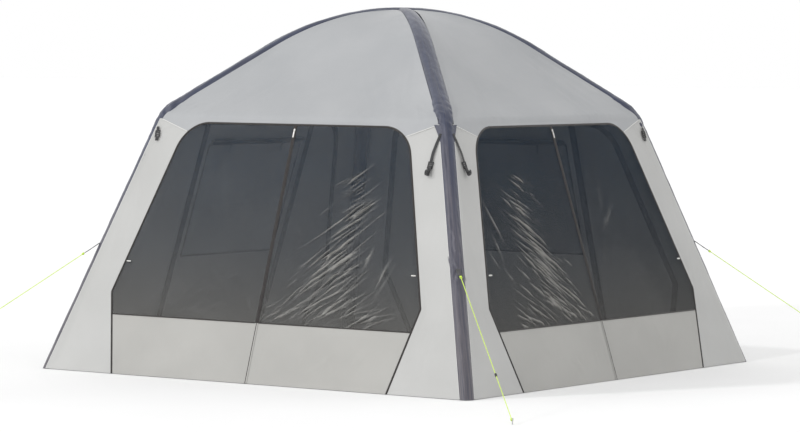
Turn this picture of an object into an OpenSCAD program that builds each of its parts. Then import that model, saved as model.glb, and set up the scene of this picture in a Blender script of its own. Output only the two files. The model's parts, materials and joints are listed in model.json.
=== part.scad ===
// Screen house: a square four-beam inflatable shelter with two mesh walls and two solid walls.
// Millimetres. +Z is up. The origin is the centre of the footprint, on the ground.
// The front wall faces -Y, the right wall +X, the rear wall +Y and the left wall -X.

/* [Footprint and walls] */
// Half of the side of the square where the wall planes meet the ground
half_side = 1550; // [1400:10:1700]
// Inward lean of every wall
lean = 17.9; // [15:0.1:22]
// Height of the fabric edge above the ground, measured up the slope
hem_gap = 2.5; // [1:0.5:6]
// Thickness of every sewn fabric panel
sheet = 2; // [1.5:0.1:3]
// Gap between fabric pieces that belong to the same body
seam_gap = 0.2; // [0.1:0.1:0.6]

/* [Air beams] */
// Outer radius of a beam sleeve
sleeve_r = 44; // [40:1:50]
// Wall of a beam sleeve
sleeve_wall = 1.5; // [1.2:0.1:2.5]
// Outer radius of the air tube inside a sleeve
tube_r = 42; // [38:0.5:43]
// Wall of an air tube
tube_wall = 1.2; // [1:0.1:2]
// Bend radius of the beam at the shoulder
shoulder_r = 200; // [150:10:300]
// Slope of the straight part of the roof beam
roof_slope = 31; // [26:0.5:34]
// Radius of the curved top of the roof beam
roof_arc_r = 1556; // [1400:2:1800]
// Height of the beam centre line at the apex
apex_axis = 2129; // [2050:1:2200]
// How far the roof panels stand above the beam centre line
panel_rise = 30; // [5:1:34]
// Width of the sleeve flange sewn into each wall, past the line where the tube touches the wall
flange = 16; // [15.5:0.5:20]

/* [Door outline] */
// Half width of the door at the ground
door_ground_x = 1000; // [900:5:1050]
// Half width of the door at its widest
door_kink_x = 1125; // [1050:5:1180]
// Height up the slope of the widest point
door_kink_s = 497; // [400:1:600]
// Half width of the unrounded top corner
door_top_x = 808; // [700:2:900]
// Height up the slope of the door's top edge
door_top_s = 1560; // [1500:1:1570]
// Radius of the rounded top corners
door_corner_r = 230; // [150:5:260]
// Width of the zip that runs round the door
edge_zip_w = 12; // [8:1:20]
// Width of a straight zip in the mesh doors
centre_zip_w = 14; // [10:1:20]
// Height up the slope of the solid band under the mesh
skirt_s = 360; // [300:5:450]
// Clearance round every piece that moves
move_gap = 0.5; // [0.4:0.1:1]

/* [Solid walls] */
// Distance of the straight zips from the middle of a solid wall
panel_zip_x = 535; // [480:5:580]
// Width of the straight zips in a solid wall
panel_zip_w = 24; // [16:1:30]
// Half width of the window
window_x = 465; // [400:5:500]
// Height up the slope of the window's lower edge
window_low_s = 666; // [600:2:750]
// Height up the slope of the window's upper edge
window_high_s = 1395; // [1300:5:1420]
// Radius of the rolled blind
blind_r = 16; // [12:1:22]

/* [Guy lines] */
// Radius of a guy line
guy_r = 2.5; // [2:0.1:3]

/* [View] */
// Which piece to draw

/* [Hidden] */
$fn = 64;
arc_fn = 360;
root2 = sqrt(2);
canvas = [0.78, 0.78, 0.77];
band = [0.72, 0.71, 0.68];
navy = [0.30, 0.30, 0.38];
net = [0.30, 0.33, 0.36];
dark = [0.12, 0.11, 0.11];
webbing = [0.10, 0.10, 0.10];
pale = [0.85, 0.85, 0.84];
lime = [0.80, 0.92, 0.25];
film = [0.75, 0.78, 0.82];
steel = [0.65, 0.66, 0.68];

// Beam path in the vertical plane through a corner: r is the distance from the centre axis.
theta = atan(root2 * tan(lean));
beam_inset = sleeve_r - 0.3;
leg_q = half_side - beam_inset / cos(lean);
leg_r = root2 * leg_q;
arc_z = apex_axis - roof_arc_r;
top_r = roof_arc_r * sin(roof_slope);
top_z = arc_z + roof_arc_r * cos(roof_slope);
run_u = ((leg_r - top_r) * cos(theta) - top_z * sin(theta)) / cos(roof_slope + theta);
run_v = (cos(roof_slope) * top_z - sin(roof_slope) * (leg_r - top_r)) / cos(roof_slope + theta);
turn = 90 - theta - roof_slope;
trim = shoulder_r * tan(turn / 2);
leg_len = run_v - trim;
slope_len = run_u - trim;
bend_r = leg_r - leg_len * sin(theta) - shoulder_r * cos(theta);
bend_z = leg_len * cos(theta) - shoulder_r * sin(theta);

// Where the sleeve flange ends, measured from the corner line in the wall plane.
plane_half = acos(sin(lean) * sin(lean)) / 2;
touch = sleeve_r * tan(plane_half);
edge_scale = 1 / cos(asin(sin(lean)));
flange_in = (touch - 3) * edge_scale;
flange_out = (touch + flange) * edge_scale;
flange_top_s = 1530;
apex_cut = 0.15;
big = 3000;
foot_drop = 60;
foot_t = 2;
joint_r = 24;
seam_step = 0.6;
bend_lap = 3;
crown_lap = 1;
tuck = 4;
tube_end_r = 72;
port_r = 10;

// Door outline, seen square on to the wall: x across, s up the slope. in = distance inside the outline.
k1 = (door_kink_x - door_ground_x) / door_kink_s;
k2 = (door_top_x - door_kink_x) / (door_top_s - door_kink_s);
c1 = sqrt(1 + k1 * k1);
c2 = sqrt(1 + k2 * k2);
side_tilt = atan(-k2);
arc_steps = 12;
toggle_s = 687;
toggle_len = 34;
tie_x = 260;
tie_w = 20;
centre_slider_s = 1522;
panel_slider_s = 60;
strap_x = 1020;
strap_top_s = 1522;
strap_tilt = -5;
strap_w = 22;
long_strap = [168, 80];
short_strap = [22, 28];
lock_w = 34;
lock_len = 42;
function low_x(s, in) = door_ground_x - in * c1 + k1 * s;
function high_x(s, in) = door_kink_x - in * c2 + k2 * (s - door_kink_s);
function kink_s(in) = (door_kink_x - door_ground_x - in * (c2 - c1) - k2 * door_kink_s) / (k1 - k2);
corner_s = door_top_s - door_corner_r;
corner_x = door_top_x - door_corner_r * tan((90 - side_tilt) / 2);
function arc_point(i, in) = let (a = side_tilt + (90 - side_tilt) * i / arc_steps, r = door_corner_r - in)
    [corner_x + r * cos(a), corner_s + r * sin(a)];
function side_points(in, s_low) = [[low_x(s_low, in), s_low], [low_x(kink_s(in), in), kink_s(in)]];
function arc_points(in, first, last) = [for (i = [first:last]) arc_point(i, in)];
function half_outline(in, s_low) = concat(side_points(in, s_low), arc_points(in, 0, arc_steps));
function mirrored(pts) = [for (i = [len(pts) - 1:-1:0]) [-pts[i][0], pts[i][1]]];
welt_step = 5;
welt_s = 1575;
function flange_x(s) = half_side - s * sin(lean) - flange_out - seam_gap;

// Roof panel profile: q is the distance from the centre plane, z the height. in = distance inside.
function arc_out(in) = roof_arc_r + panel_rise - in;
function roof_q(a, in) = arc_out(in) * sin(a) / root2;
function roof_z(a, in) = arc_z + arc_out(in) * cos(a);
roof_m = tan(roof_slope) * root2;
function shoulder_rise(in) = roof_m * (roof_q(roof_slope, in) - half_side + in / cos(lean));
function shoulder_z(in) = (roof_z(roof_slope, in) + shoulder_rise(in)) / (1 - roof_m * tan(lean));
function wall_q(z, in) = half_side - in / cos(lean) - z * tan(lean);
roof_steps = 16;
header_z = 1340;
function roof_point(i, in) = let (a = roof_slope * i / roof_steps) [roof_q(a, in), roof_z(a, in)];
function roof_profile(in) = concat(
    [[wall_q(header_z, in), header_z]],
    [[wall_q(shoulder_z(in), in), shoulder_z(in)]],
    [for (i = [roof_steps:-1:0]) roof_point(i, in)]);
wedge_gap = (sleeve_r + seam_step + 0.3) * root2;
header_depth = 30;
function flipped(pts) = [for (i = [len(pts) - 1:-1:0]) pts[i]];
function full_outline(in, s_low) = concat(half_outline(in, s_low), mirrored(half_outline(in, s_low)));
function corner_outline() = concat(
    [[flange_x(hem_gap), hem_gap], [flange_x(welt_s), welt_s]],
    flipped(arc_points(-seam_gap, 0, welt_step)),
    flipped(side_points(-seam_gap, hem_gap)));
welt_cut_s = welt_s + seam_gap;
function welt_line() = [[flange_x(welt_s) + 40, welt_cut_s], [flange_x(welt_s), welt_cut_s]];
function header_half() = concat(welt_line(), arc_points(-seam_gap, welt_step, arc_steps));
function header_cut() = concat([[half_side, 1200], [half_side, welt_cut_s]], header_half(),
    mirrored(header_half()), [[-half_side, welt_cut_s], [-half_side, 1200]]);

// Guy lines in the vertical plane through a corner, as [r, z] from loop to peg.
front_route = [[1936, 668], [2419, 451], [2903, 235], [3386, 18]];
side_route = [[1925, 692], [2266, 467], [2607, 243], [2948, 18]];
guy_sides = 10;
front_loop_len = 85;
side_loop_len = 106;
loop_w = 25;
loop_t = 2.5;
loop_eye_r = 5;
loop_gap = 1;
runner_share = 0.70;
runner_size = [26, 10, 12];
peg_r = 3;
peg_gap = 8;
peg_top = 30;
peg_arm = 16;
route_cuts = 8;
function finer(route) = concat(
    [for (j = [0:len(route) - 2], i = [0:route_cuts - 1])
        route[j] + (route[j + 1] - route[j]) * i / route_cuts],
    [route[len(route) - 1]]);
function route_drop(route) = atan((route[0][1] - route[3][1]) / (route[3][0] - route[0][0]));

// Valve on the inner side of the rear left leg, in the frame of the leg.
valve_up = 300;
valve_r = 14;
valve_lip_r = 20;
valve_bore_r = 9;
valve_face = sleeve_r + 3;
cap_r = 16;
cap_axis = 22;

// Places a wall-plane drawing: x across, y up the slope, z outwards. 0 front, 1 right, 2 rear, 3 left.
module wall(k) {
    rotate([0, 0, 90 * k])
        translate([0, -half_side, 0])
            rotate([90 - lean, 0, 0])
                children();
}

// Turns +X to point at a corner: 0 front right, 1 rear right, 2 rear left, 3 front left.
module corner(k) {
    rotate([0, 0, -45 + 90 * k])
        children();
}

module leg_frame(k) {
    corner(k)
        translate([leg_r, 0, 0])
            rotate([0, -theta, 0])
                children();
}

module panel(pts, low = -sheet, high = 0) {
    translate([0, 0, low])
        linear_extrude(height = high - low)
            polygon(pts);
}

// Solid bar along the beam path. The bend and the crown are a seam wider and lap over the straight lengths.
module beam_bar(r, lap_cut = 0) {
    bend_start = theta - bend_lap + lap_cut;
    translate([leg_r, 0, 0])
        rotate([0, -theta, 0])
            translate([0, 0, -foot_drop])
                cylinder(r = r, h = leg_len + foot_drop + tuck);
    translate([bend_r, 0, bend_z])
        rotate([90, 0, 0])
            rotate([0, 0, bend_start])
                rotate_extrude(angle = turn + 2 * (bend_lap - lap_cut), $fn = arc_fn)
                    translate([shoulder_r, 0])
                        circle(r = r + seam_step);
    translate([top_r, 0, top_z])
        rotate([0, 90 + roof_slope, 0])
            translate([0, 0, -tuck])
                cylinder(r = r, h = slope_len + 2 * tuck);
    translate([0, 0, arc_z])
        rotate([90, 0, 0])
            rotate([0, 0, 90 - roof_slope - crown_lap + lap_cut / 4])
                rotate_extrude(angle = roof_slope + crown_lap - lap_cut / 4, $fn = arc_fn)
                    translate([roof_arc_r, 0])
                        circle(r = r + seam_step);
}

// The part of a beam from a height above the ground up to a distance from the centre axis.
module beam_piece(r, low, from_r) {
    intersection() {
        beam_bar(r, lap_cut = 0.5);
        translate([from_r, -big / 2, low])
            cube([big, big, big]);
    }
}

// The quarter of space that a sleeve may fill, above the ground, in the frame of its corner.
module quarter() {
    rotate([0, 0, -45])
        translate([apex_cut, apex_cut, 0])
            cube([big, big, big]);
}

module flange_strip() {
    panel([
        [half_side - flange_in - hem_gap * sin(lean), hem_gap],
        [half_side - flange_out - hem_gap * sin(lean), hem_gap],
        [half_side - flange_out - flange_top_s * sin(lean), flange_top_s],
        [half_side - flange_in - flange_top_s * sin(lean), flange_top_s]
    ]);
}

module valve_hole(r) {
    translate([0, 0, valve_up])
        rotate([0, -90, 0])
            cylinder(r = r, h = 2 * sleeve_r);
}

module beam_sleeve(k, port = false) {
    color(navy)
    difference() {
        union() {
            corner(k)
                intersection() {
                    beam_bar(sleeve_r);
                    quarter();
                }
            wall(k)
                flange_strip();
            wall(k + 1)
                mirror([1, 0, 0])
                    flange_strip();
        }
        corner(k)
            difference() {
                beam_bar(sleeve_r - sleeve_wall);
                translate([0, -big / 2, -big])
                    cube([big, big, big + foot_t]);
            }
        if (port) {
            leg_frame(k)
                valve_hole(valve_r + 0.4);
        }
    }
}

module air_tube(k, port = false) {
    color(film)
    difference() {
        corner(k)
            beam_piece(tube_r, foot_t + 1, tube_end_r);
        corner(k)
            beam_piece(tube_r - tube_wall, foot_t + 1 + tube_wall, tube_end_r + tube_wall);
        corner(k)
            translate([tube_end_r - 5, 0, apex_axis])
                rotate([0, 90, 0])
                    cylinder(r = port_r, h = 15);
        if (port) {
            leg_frame(k)
                valve_hole(valve_r + 0.4);
        }
    }
}

module apex_air_joint() {
    color(film)
    translate([0, 0, apex_axis - 0.8])
        difference() {
            union() {
                joint_bar(joint_r);
                rotate([0, 0, 90])
                    joint_bar(joint_r);
            }
            joint_bar(port_r);
            rotate([0, 0, 90])
                joint_bar(port_r);
        }
}

module joint_bar(r) {
    rotate([0, 0, 45])
        rotate([0, 90, 0])
            cylinder(r = r, h = 2 * (tube_end_r - 0.5), center = true);
}

module air_valve() {
    color(pale)
    leg_frame(2)
        translate([0, 0, valve_up])
            rotate([0, -90, 0])
                difference() {
                    union() {
                        translate([0, 0, tube_r - 5])
                            cylinder(r = valve_r, h = valve_face - tube_r + 5);
                        translate([0, 0, sleeve_r + 0.5])
                            cylinder(r = valve_lip_r, h = valve_face - sleeve_r - 0.5);
                    }
                    translate([0, 0, tube_r - 6])
                        cylinder(r = valve_bore_r, h = 20);
                }
}

module valve_cap() {
    color(dark)
    leg_frame(2)
        translate([0, 0, valve_up])
            rotate([0, -90, 0])
                translate([0, 0, valve_face + 0.4]) {
                    cylinder(r = cap_r, h = 3.5);
                    translate([0, 0, -3])
                        cylinder(r = valve_bore_r - 0.5, h = 3);
                    translate([cap_r - 4, -4, 0])
                        cube([cap_axis - cap_r + 4, 8, 2]);
                }
}

module roof_panel(k) {
    color(canvas)
    difference() {
        intersection() {
            rotate([0, 0, 90 * k])
                rotate([90, 0, -90])
                    translate([0, 0, -half_side])
                        linear_extrude(height = 2 * half_side)
                            polygon(concat(roof_profile(0), flipped(roof_profile(sheet))));
            rotate([0, 0, 90 * k])
                linear_extrude(height = big)
                    polygon([[0, -wedge_gap], [big, -wedge_gap - big], [-big, -wedge_gap - big]]);
        }
        wall(k)
            panel(header_cut(), -header_depth, header_depth);
    }
}

module corner_panels(k) {
    color(canvas) {
        wall(k)
            panel(corner_outline());
        wall(k + 1)
            mirror([1, 0, 0])
                panel(corner_outline());
    }
}

module wall_zips() {
    color(dark)
    for (k = [0:3]) {
        wall(k)
            translate([0, 0, -sheet - 0.5])
                linear_extrude(height = sheet + 1)
                    difference() {
                        polygon(full_outline(0, hem_gap));
                        polygon(full_outline(edge_zip_w, -20));
                    }
    }
    color(dark)
    for (k = [2:3]) {
        wall(k)
            for (side = [-1, 1]) {
                translate([side * panel_zip_x, 0, 0])
                    zip_strip(panel_zip_w, door_top_s - edge_zip_w - seam_gap);
            }
    }
}

module zip_strip(w, top_s) {
    translate([-w / 2, hem_gap, -sheet - 0.5])
        cube([w, top_s - hem_gap, sheet + 1]);
}

module side_of(left) {
    if (left) {
        mirror([1, 0, 0])
            children();
    } else {
        children();
    }
}

module mesh_leaf(k, left) {
    inside = edge_zip_w + move_gap;
    inner_x = centre_zip_w / 2 + (left ? seam_gap : move_gap);
    color(net)
    wall(k)
        side_of(left)
            panel(concat(
                [[inner_x, skirt_s]],
                side_points(inside, skirt_s),
                arc_points(inside, 0, arc_steps),
                [[inner_x, door_top_s - inside]]));
}

module skirt(k, left) {
    inside = edge_zip_w + move_gap;
    inner_x = centre_zip_w / 2 + (left ? seam_gap : move_gap);
    top_s = skirt_s - seam_gap;
    color(band)
    wall(k)
        side_of(left)
            panel([
                [inner_x, hem_gap],
                [low_x(hem_gap, inside), hem_gap],
                [low_x(top_s, inside), top_s],
                [inner_x, top_s]
            ]);
}

module centre_zip(k) {
    color(dark)
    wall(k)
        zip_strip(centre_zip_w, door_top_s - edge_zip_w - move_gap);
}

// Zip slider with its pull hanging below it.
module zip_slider(k, x, s, pull) {
    color(pull > 30 ? pale : dark)
    wall(k)
        translate([x, s, 0.9]) {
            translate([-5, -7, 0])
                cube([10, 14, 4]);
            translate([-4.5, -7 - pull, 1])
                cube([9, pull + 2, 1.2]);
        }
}

module toggle(k, left) {
    edge = high_x(toggle_s, edge_zip_w + move_gap) - 4;
    color(pale)
    wall(k)
        side_of(left)
            translate([edge - toggle_len, toggle_s, 0]) {
                translate([0, 0, 5.4])
                    rotate([0, 90, 0])
                        cylinder(r = 3.5, h = toggle_len);
                translate([toggle_len / 2 - 4, -3, 0.1])
                    cube([8, 6, 4]);
            }
}

module side_panels(k) {
    inside = edge_zip_w + seam_gap;
    inner_x = panel_zip_x + panel_zip_w / 2 + seam_gap;
    top = [[inner_x, door_top_s - inside]];
    color(canvas)
    wall(k)
        for (left = [false, true]) {
            side_of(left)
                panel(concat([[inner_x, hem_gap]], half_outline(inside, hem_gap), top));
        }
}

panel_x = panel_zip_x - panel_zip_w / 2 - move_gap;
panel_top_s = door_top_s - edge_zip_w - move_gap;

module door_panel(k) {
    color(canvas)
    wall(k)
        difference() {
            panel([[-panel_x, hem_gap], [panel_x, hem_gap], [panel_x, panel_top_s], [-panel_x, panel_top_s]]);
            translate([-window_x, window_low_s, -sheet - 1])
                cube([2 * window_x, window_high_s - window_low_s, sheet + 2]);
        }
}

module window_sheet(k) {
    color(net)
    wall(k)
        translate([-window_x + seam_gap, window_low_s + seam_gap, -sheet])
            cube([2 * (window_x - seam_gap), window_high_s - window_low_s - 2 * seam_gap, sheet]);
}

blind_s = window_high_s + blind_r + 6;
blind_in = sheet + 2.5 + blind_r;

module blind(k) {
    color(band)
    wall(k)
        translate([-window_x + 5, blind_s, -blind_in])
            rotate([0, 90, 0])
                cylinder(r = blind_r, h = 2 * (window_x - 5));
}

module blind_ties(k) {
    color(dark)
    wall(k)
        for (x = [-tie_x, tie_x]) {
            translate([x - tie_w / 2, blind_s, -blind_in])
                difference() {
                    union() {
                        rotate([0, 90, 0])
                            cylinder(r = blind_r + 1.8, h = tie_w);
                        translate([0, -3, blind_r + 1])
                            cube([tie_w, 6, 1.4]);
                    }
                    translate([-1, 0, 0])
                        rotate([0, 90, 0])
                            cylinder(r = blind_r + 0.3, h = tie_w + 2);
                }
        }
}

// Webbing that runs down from each shoulder through a ladder lock, with its free tail.
module shoulder_straps() {
    color(webbing)
    for (k = [0:3]) {
        for (left = [false, true]) {
            wall(k)
                side_of(left)
                    translate([strap_x, strap_top_s, 0.3])
                        rotate([0, 0, strap_tilt])
                            strap_webbing(strap_size(k, left));
        }
    }
}

module strap_webbing(size) {
    translate([-strap_w / 2, -size[0], 0])
        cube([strap_w, size[0], 2]);
    translate([-strap_w / 2, -size[0] - lock_len - size[1] - 1, 0])
        cube([strap_w, size[1], 2]);
}

// The two straps at the front right corner are let out; the others are pulled short. [strap, tail]
function strap_size(k, left) = (k == 0 && !left) || (k == 1 && left) ? long_strap : short_strap;

module strap_buckles() {
    color(webbing)
    for (k = [0:3]) {
        for (left = [false, true]) {
            wall(k)
                side_of(left)
                    translate([strap_x, strap_top_s, 0.3])
                        rotate([0, 0, strap_tilt])
                            translate([0, -strap_size(k, left)[0] - lock_len - 0.5, 0])
                                ladder_lock();
        }
    }
}

module ladder_lock() {
    difference() {
        translate([-lock_w / 2, 0, 0])
            cube([lock_w, lock_len, 6]);
        for (y = [6, 18, 30]) {
            translate([-strap_w / 2, y, -1])
                cube([strap_w, 6, 8]);
        }
    }
}

module guy_loop(k, route, loop_len) {
    drop = route_drop(route);
    corner(k)
        translate([route[0][0], 0, route[0][1]])
            rotate([0, drop, 0])
                translate([-loop_gap - loop_len, -loop_w / 2, -loop_t / 2])
                    difference() {
                        cube([loop_len, loop_w, loop_t]);
                        translate([loop_len - 10, loop_w / 2, -1])
                            cylinder(r = loop_eye_r, h = loop_t + 2);
                    }
}

module guy_loops() {
    color(webbing) {
        guy_loop(0, front_route, front_loop_len);
        guy_loop(1, side_route, side_loop_len);
        guy_loop(2, side_route, side_loop_len);
        guy_loop(3, side_route, side_loop_len);
    }
}

// Round cord along a straight route in the plane of a corner.
module guy_line(k, route) {
    drop = route_drop(route);
    line = finer(route);
    rings = len(line);
    points = [for (p = line, i = [0:guy_sides - 1])
        let (a = 360 * i / guy_sides, v = guy_r * sin(a))
        [p[0] + v * sin(drop), guy_r * cos(a), p[1] + v * cos(drop)]];
    sides = [for (j = [0:rings - 2], i = [0:guy_sides - 1])
        let (n = (i + 1) % guy_sides)
        [j * guy_sides + i, j * guy_sides + n, (j + 1) * guy_sides + n, (j + 1) * guy_sides + i]];
    start = [for (i = [guy_sides - 1:-1:0]) i];
    end = [for (i = [0:guy_sides - 1]) (rings - 1) * guy_sides + i];
    color(lime)
    corner(k)
        polyhedron(points = points, faces = concat(sides, [start], [end]));
}

module guy_runner(k, route) {
    at = route[0] * (1 - runner_share) + route[3] * runner_share;
    color(webbing)
    corner(k)
        translate([at[0], 0, at[1]])
            rotate([0, route_drop(route), 0])
                difference() {
                    cube(runner_size, center = true);
                    rotate([0, 90, 0])
                        cylinder(r = guy_r + 0.7, h = 60, center = true);
                }
}

module guy_peg(k, route) {
    corner(k)
        translate([route[3][0] + peg_gap, 0, 0]) {
            cylinder(r = peg_r, h = peg_top);
            translate([0, 0, peg_top])
                sphere(r = peg_r);
            translate([0, 0, peg_top])
                rotate([0, 90, 0])
                    cylinder(r = peg_r, h = peg_arm);
        }
}

module guy_pegs() {
    color(steel) {
        guy_peg(0, front_route);
        guy_peg(1, side_route);
        guy_peg(3, side_route);
    }
}

beam_sleeve(0);  // beam_sleeve_front_right
beam_sleeve(1);  // beam_sleeve_rear_right
beam_sleeve(2, port = true);  // beam_sleeve_rear_left
beam_sleeve(3);  // beam_sleeve_front_left
air_tube(0);  // air_tube_front_right
air_tube(1);  // air_tube_rear_right
air_tube(2, port = true);  // air_tube_rear_left
air_tube(3);  // air_tube_front_left
apex_air_joint();
air_valve();
valve_cap();
roof_panel(0);  // roof_panel_front
roof_panel(1);  // roof_panel_right
roof_panel(2);  // roof_panel_rear
roof_panel(3);  // roof_panel_left
corner_panels(0);  // corner_panels_front_right
corner_panels(1);  // corner_panels_rear_right
corner_panels(2);  // corner_panels_rear_left
corner_panels(3);  // corner_panels_front_left
wall_zips();
mesh_leaf(0, true);  // front_mesh_left
mesh_leaf(0, false);  // front_mesh_right
mesh_leaf(1, true);  // right_mesh_left
mesh_leaf(1, false);  // right_mesh_right
skirt(0, true);  // front_skirt_left
skirt(0, false);  // front_skirt_right
skirt(1, true);  // right_skirt_left
skirt(1, false);  // right_skirt_right
centre_zip(0);  // front_centre_zip
centre_zip(1);  // right_centre_zip
zip_slider(0, 0, centre_slider_s, 42);  // front_zip_slider
zip_slider(1, 0, centre_slider_s, 42);  // right_zip_slider
toggle(0, true);  // front_toggle_left
toggle(0, false);  // front_toggle_right
toggle(1, true);  // right_toggle_left
toggle(1, false);  // right_toggle_right
side_panels(2);  // rear_side_panels
side_panels(3);  // left_side_panels
door_panel(2);  // rear_door_panel
door_panel(3);  // left_door_panel
window_sheet(2);  // rear_window
window_sheet(3);  // left_window
blind(2);  // rear_blind
blind(3);  // left_blind
blind_ties(2);  // rear_blind_ties
blind_ties(3);  // left_blind_ties
zip_slider(2, -panel_zip_x, panel_slider_s, 24);  // rear_slider_left
zip_slider(2, panel_zip_x, panel_slider_s, 24);  // rear_slider_right
zip_slider(3, -panel_zip_x, panel_slider_s, 24);  // left_slider_left
zip_slider(3, panel_zip_x, panel_slider_s, 24);  // left_slider_right
shoulder_straps();
strap_buckles();
guy_loops();
guy_line(0, front_route);  // guy_line_front_right
guy_line(3, side_route);  // guy_line_front_left
guy_line(1, side_route);  // guy_line_rear_right
guy_runner(0, front_route);  // guy_runner_front_right
guy_runner(3, side_route);  // guy_runner_front_left
guy_runner(1, side_route);  // guy_runner_rear_right
guy_pegs();
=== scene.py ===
"""Looks for a square inflatable screen house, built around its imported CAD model.

Metres throughout, in the CAD frame: +Z up, the front wall faces -Y and the right wall +X.
A wall frame has x across the wall, s up its slope and n outwards.
A corner frame has r outwards from the centre, t across and z up.
"""

import json
import math

import bpy
import numpy as np
from mathutils import Matrix, Vector


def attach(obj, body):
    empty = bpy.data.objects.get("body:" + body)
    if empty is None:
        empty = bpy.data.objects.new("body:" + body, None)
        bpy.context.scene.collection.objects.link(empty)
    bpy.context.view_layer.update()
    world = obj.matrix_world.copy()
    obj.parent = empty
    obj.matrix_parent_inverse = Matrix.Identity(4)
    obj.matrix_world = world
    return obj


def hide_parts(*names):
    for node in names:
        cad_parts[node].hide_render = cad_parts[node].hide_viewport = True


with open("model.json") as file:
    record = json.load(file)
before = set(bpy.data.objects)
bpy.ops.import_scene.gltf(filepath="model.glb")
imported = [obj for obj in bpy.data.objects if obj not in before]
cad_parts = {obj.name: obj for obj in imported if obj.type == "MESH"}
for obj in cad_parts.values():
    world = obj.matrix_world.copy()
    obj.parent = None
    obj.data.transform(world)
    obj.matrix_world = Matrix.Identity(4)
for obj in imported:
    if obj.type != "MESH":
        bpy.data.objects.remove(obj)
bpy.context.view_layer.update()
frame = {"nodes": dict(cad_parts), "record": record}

# ---------- sizes repeated from the CAD source
HALF = 1.550                      # half the side of the ground square
LEAN = math.radians(17.9)         # inward lean of the walls
HEM = 0.0025                      # fabric edge above the ground
SEAM = 0.0002
SLEEVE_R = 0.044
SHOULDER_R = 0.200
ROOF_SLOPE = math.radians(31)
ROOF_ARC_R = 1.556
APEX_AXIS = 2.129
PANEL_RISE = 0.030
FLANGE = 0.016
DOOR_GROUND_X, DOOR_KINK_X, DOOR_KINK_S = 1.000, 1.125, 0.497
DOOR_TOP_X, DOOR_TOP_S, DOOR_CORNER_R = 0.808, 1.560, 0.230
EDGE_ZIP_W, CENTRE_ZIP_W = 0.012, 0.014
SKIRT_S = 0.360
MOVE_GAP = 0.0005
PANEL_ZIP_X, PANEL_ZIP_W = 0.535, 0.024
WINDOW_X, WINDOW_LOW_S, WINDOW_HIGH_S = 0.465, 0.666, 1.395
BLIND_R = 0.016
WELT_S, WELT_STEP, ARC_STEPS = 1.575, 5, 12
FLANGE_TOP_S = 1.530
GUY_R = 0.0025
FRONT_LOOP_LEN, SIDE_LOOP_LEN, LOOP_W = 0.085, 0.106, 0.025
FRONT_ROUTE = [(1.936, 0.668), (2.419, 0.451), (2.903, 0.235), (3.386, 0.018)]
SIDE_ROUTE = [(1.925, 0.692), (2.266, 0.467), (2.607, 0.243), (2.948, 0.018)]
RUNNER_SHARE = 0.70
STRAP_X, STRAP_TOP_S, STRAP_TILT = 1.020, 1.522, math.radians(-5)
STRAP_W, LOCK_LEN = 0.022, 0.042
LONG_STRAP, SHORT_STRAP = (0.168, 0.080), (0.022, 0.028)   # strap and tail
TOGGLE_S, TOGGLE_LEN = 0.687, 0.034
TIE_X, TIE_W = 0.260, 0.020
CENTRE_SLIDER_S, PANEL_SLIDER_S = 1.522, 0.060
FRONT, RIGHT, REAR, LEFT = range(4)
FRONT_RIGHT, REAR_RIGHT, REAR_LEFT, FRONT_LEFT = range(4)
CORNER_NAMES = ["front_right", "rear_right", "rear_left", "front_left"]
WALL_NAMES = ["front", "right", "rear", "left"]

SHARP_ANGLE = math.radians(55)    # edges sharper than this are shaded as edges
CLOTH, NET_CLOTH = 0.0012, 0.0007        # drawn thickness
OPEN_CORNER = ((FRONT, 1), (RIGHT, -1))  # the two wall ends at the front right corner, which is dressed differently

BODY_OF = {n: b for b, ns in frame["record"]["behaviour"]["bodies"].items() for n in ns}
SIN_L, COS_L, TAN_L = math.sin(LEAN), math.cos(LEAN), math.tan(LEAN)
ROOT2 = math.sqrt(2)


# ---------- frames
def turned(points, angle):
    """The points turned about the vertical axis."""
    c, s = math.cos(angle), math.sin(angle)
    out = np.array(points, float)
    out[..., 0], out[..., 1] = c * points[..., 0] - s * points[..., 1], s * points[..., 0] + c * points[..., 1]
    return out


def together(*parts):
    """Arrays broadcast to one shape and stacked along a new last axis."""
    return np.stack(np.broadcast_arrays(*parts), -1)


def run_along(points):
    """Length along a line from its first point to each of its points."""
    return np.concatenate([[0], np.cumsum(np.linalg.norm(np.diff(points, axis=0), axis=1))])


def unit(vectors):
    return vectors / np.linalg.norm(vectors, axis=-1, keepdims=True)


def on_wall(k, x, s, n):
    """Points of the object's frame from a wall's own x, s and n."""
    return turned(together(x, -HALF + s * SIN_L - n * COS_L, s * COS_L + n * SIN_L), k * math.pi / 2)


def at_corner(k, r, t, z):
    """Points of the object's frame from a corner's own r, t and z."""
    return turned(together(r, t, z), math.radians(-45 + 90 * k))


def wall_matrix(k):
    axes = Matrix.Rotation(k * math.pi / 2, 4, "Z") @ Matrix.Translation((0, -HALF, 0))
    return axes @ Matrix.Rotation(math.pi / 2 - LEAN, 4, "X")


def corner_matrix(k):
    return Matrix.Rotation(math.radians(-45 + 90 * k), 4, "Z")


# ---------- noise and wrinkles
def noise(x, y, seed):
    """Smooth noise from -1 to 1 on a unit lattice."""
    table = np.random.default_rng(seed).uniform(-1, 1, (64, 64))
    x, y = np.broadcast_arrays(np.asarray(x, float), y)
    xi, yi = np.floor(x).astype(int), np.floor(y).astype(int)
    xf, yf = x - xi, y - yi
    xf, yf = xf * xf * (3 - 2 * xf), yf * yf * (3 - 2 * yf)
    a, b = table[xi % 64, yi % 64], table[(xi + 1) % 64, yi % 64]
    c, d = table[xi % 64, (yi + 1) % 64], table[(xi + 1) % 64, (yi + 1) % 64]
    return (a * (1 - xf) + b * xf) * (1 - yf) + (c * (1 - xf) + d * xf) * yf


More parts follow.
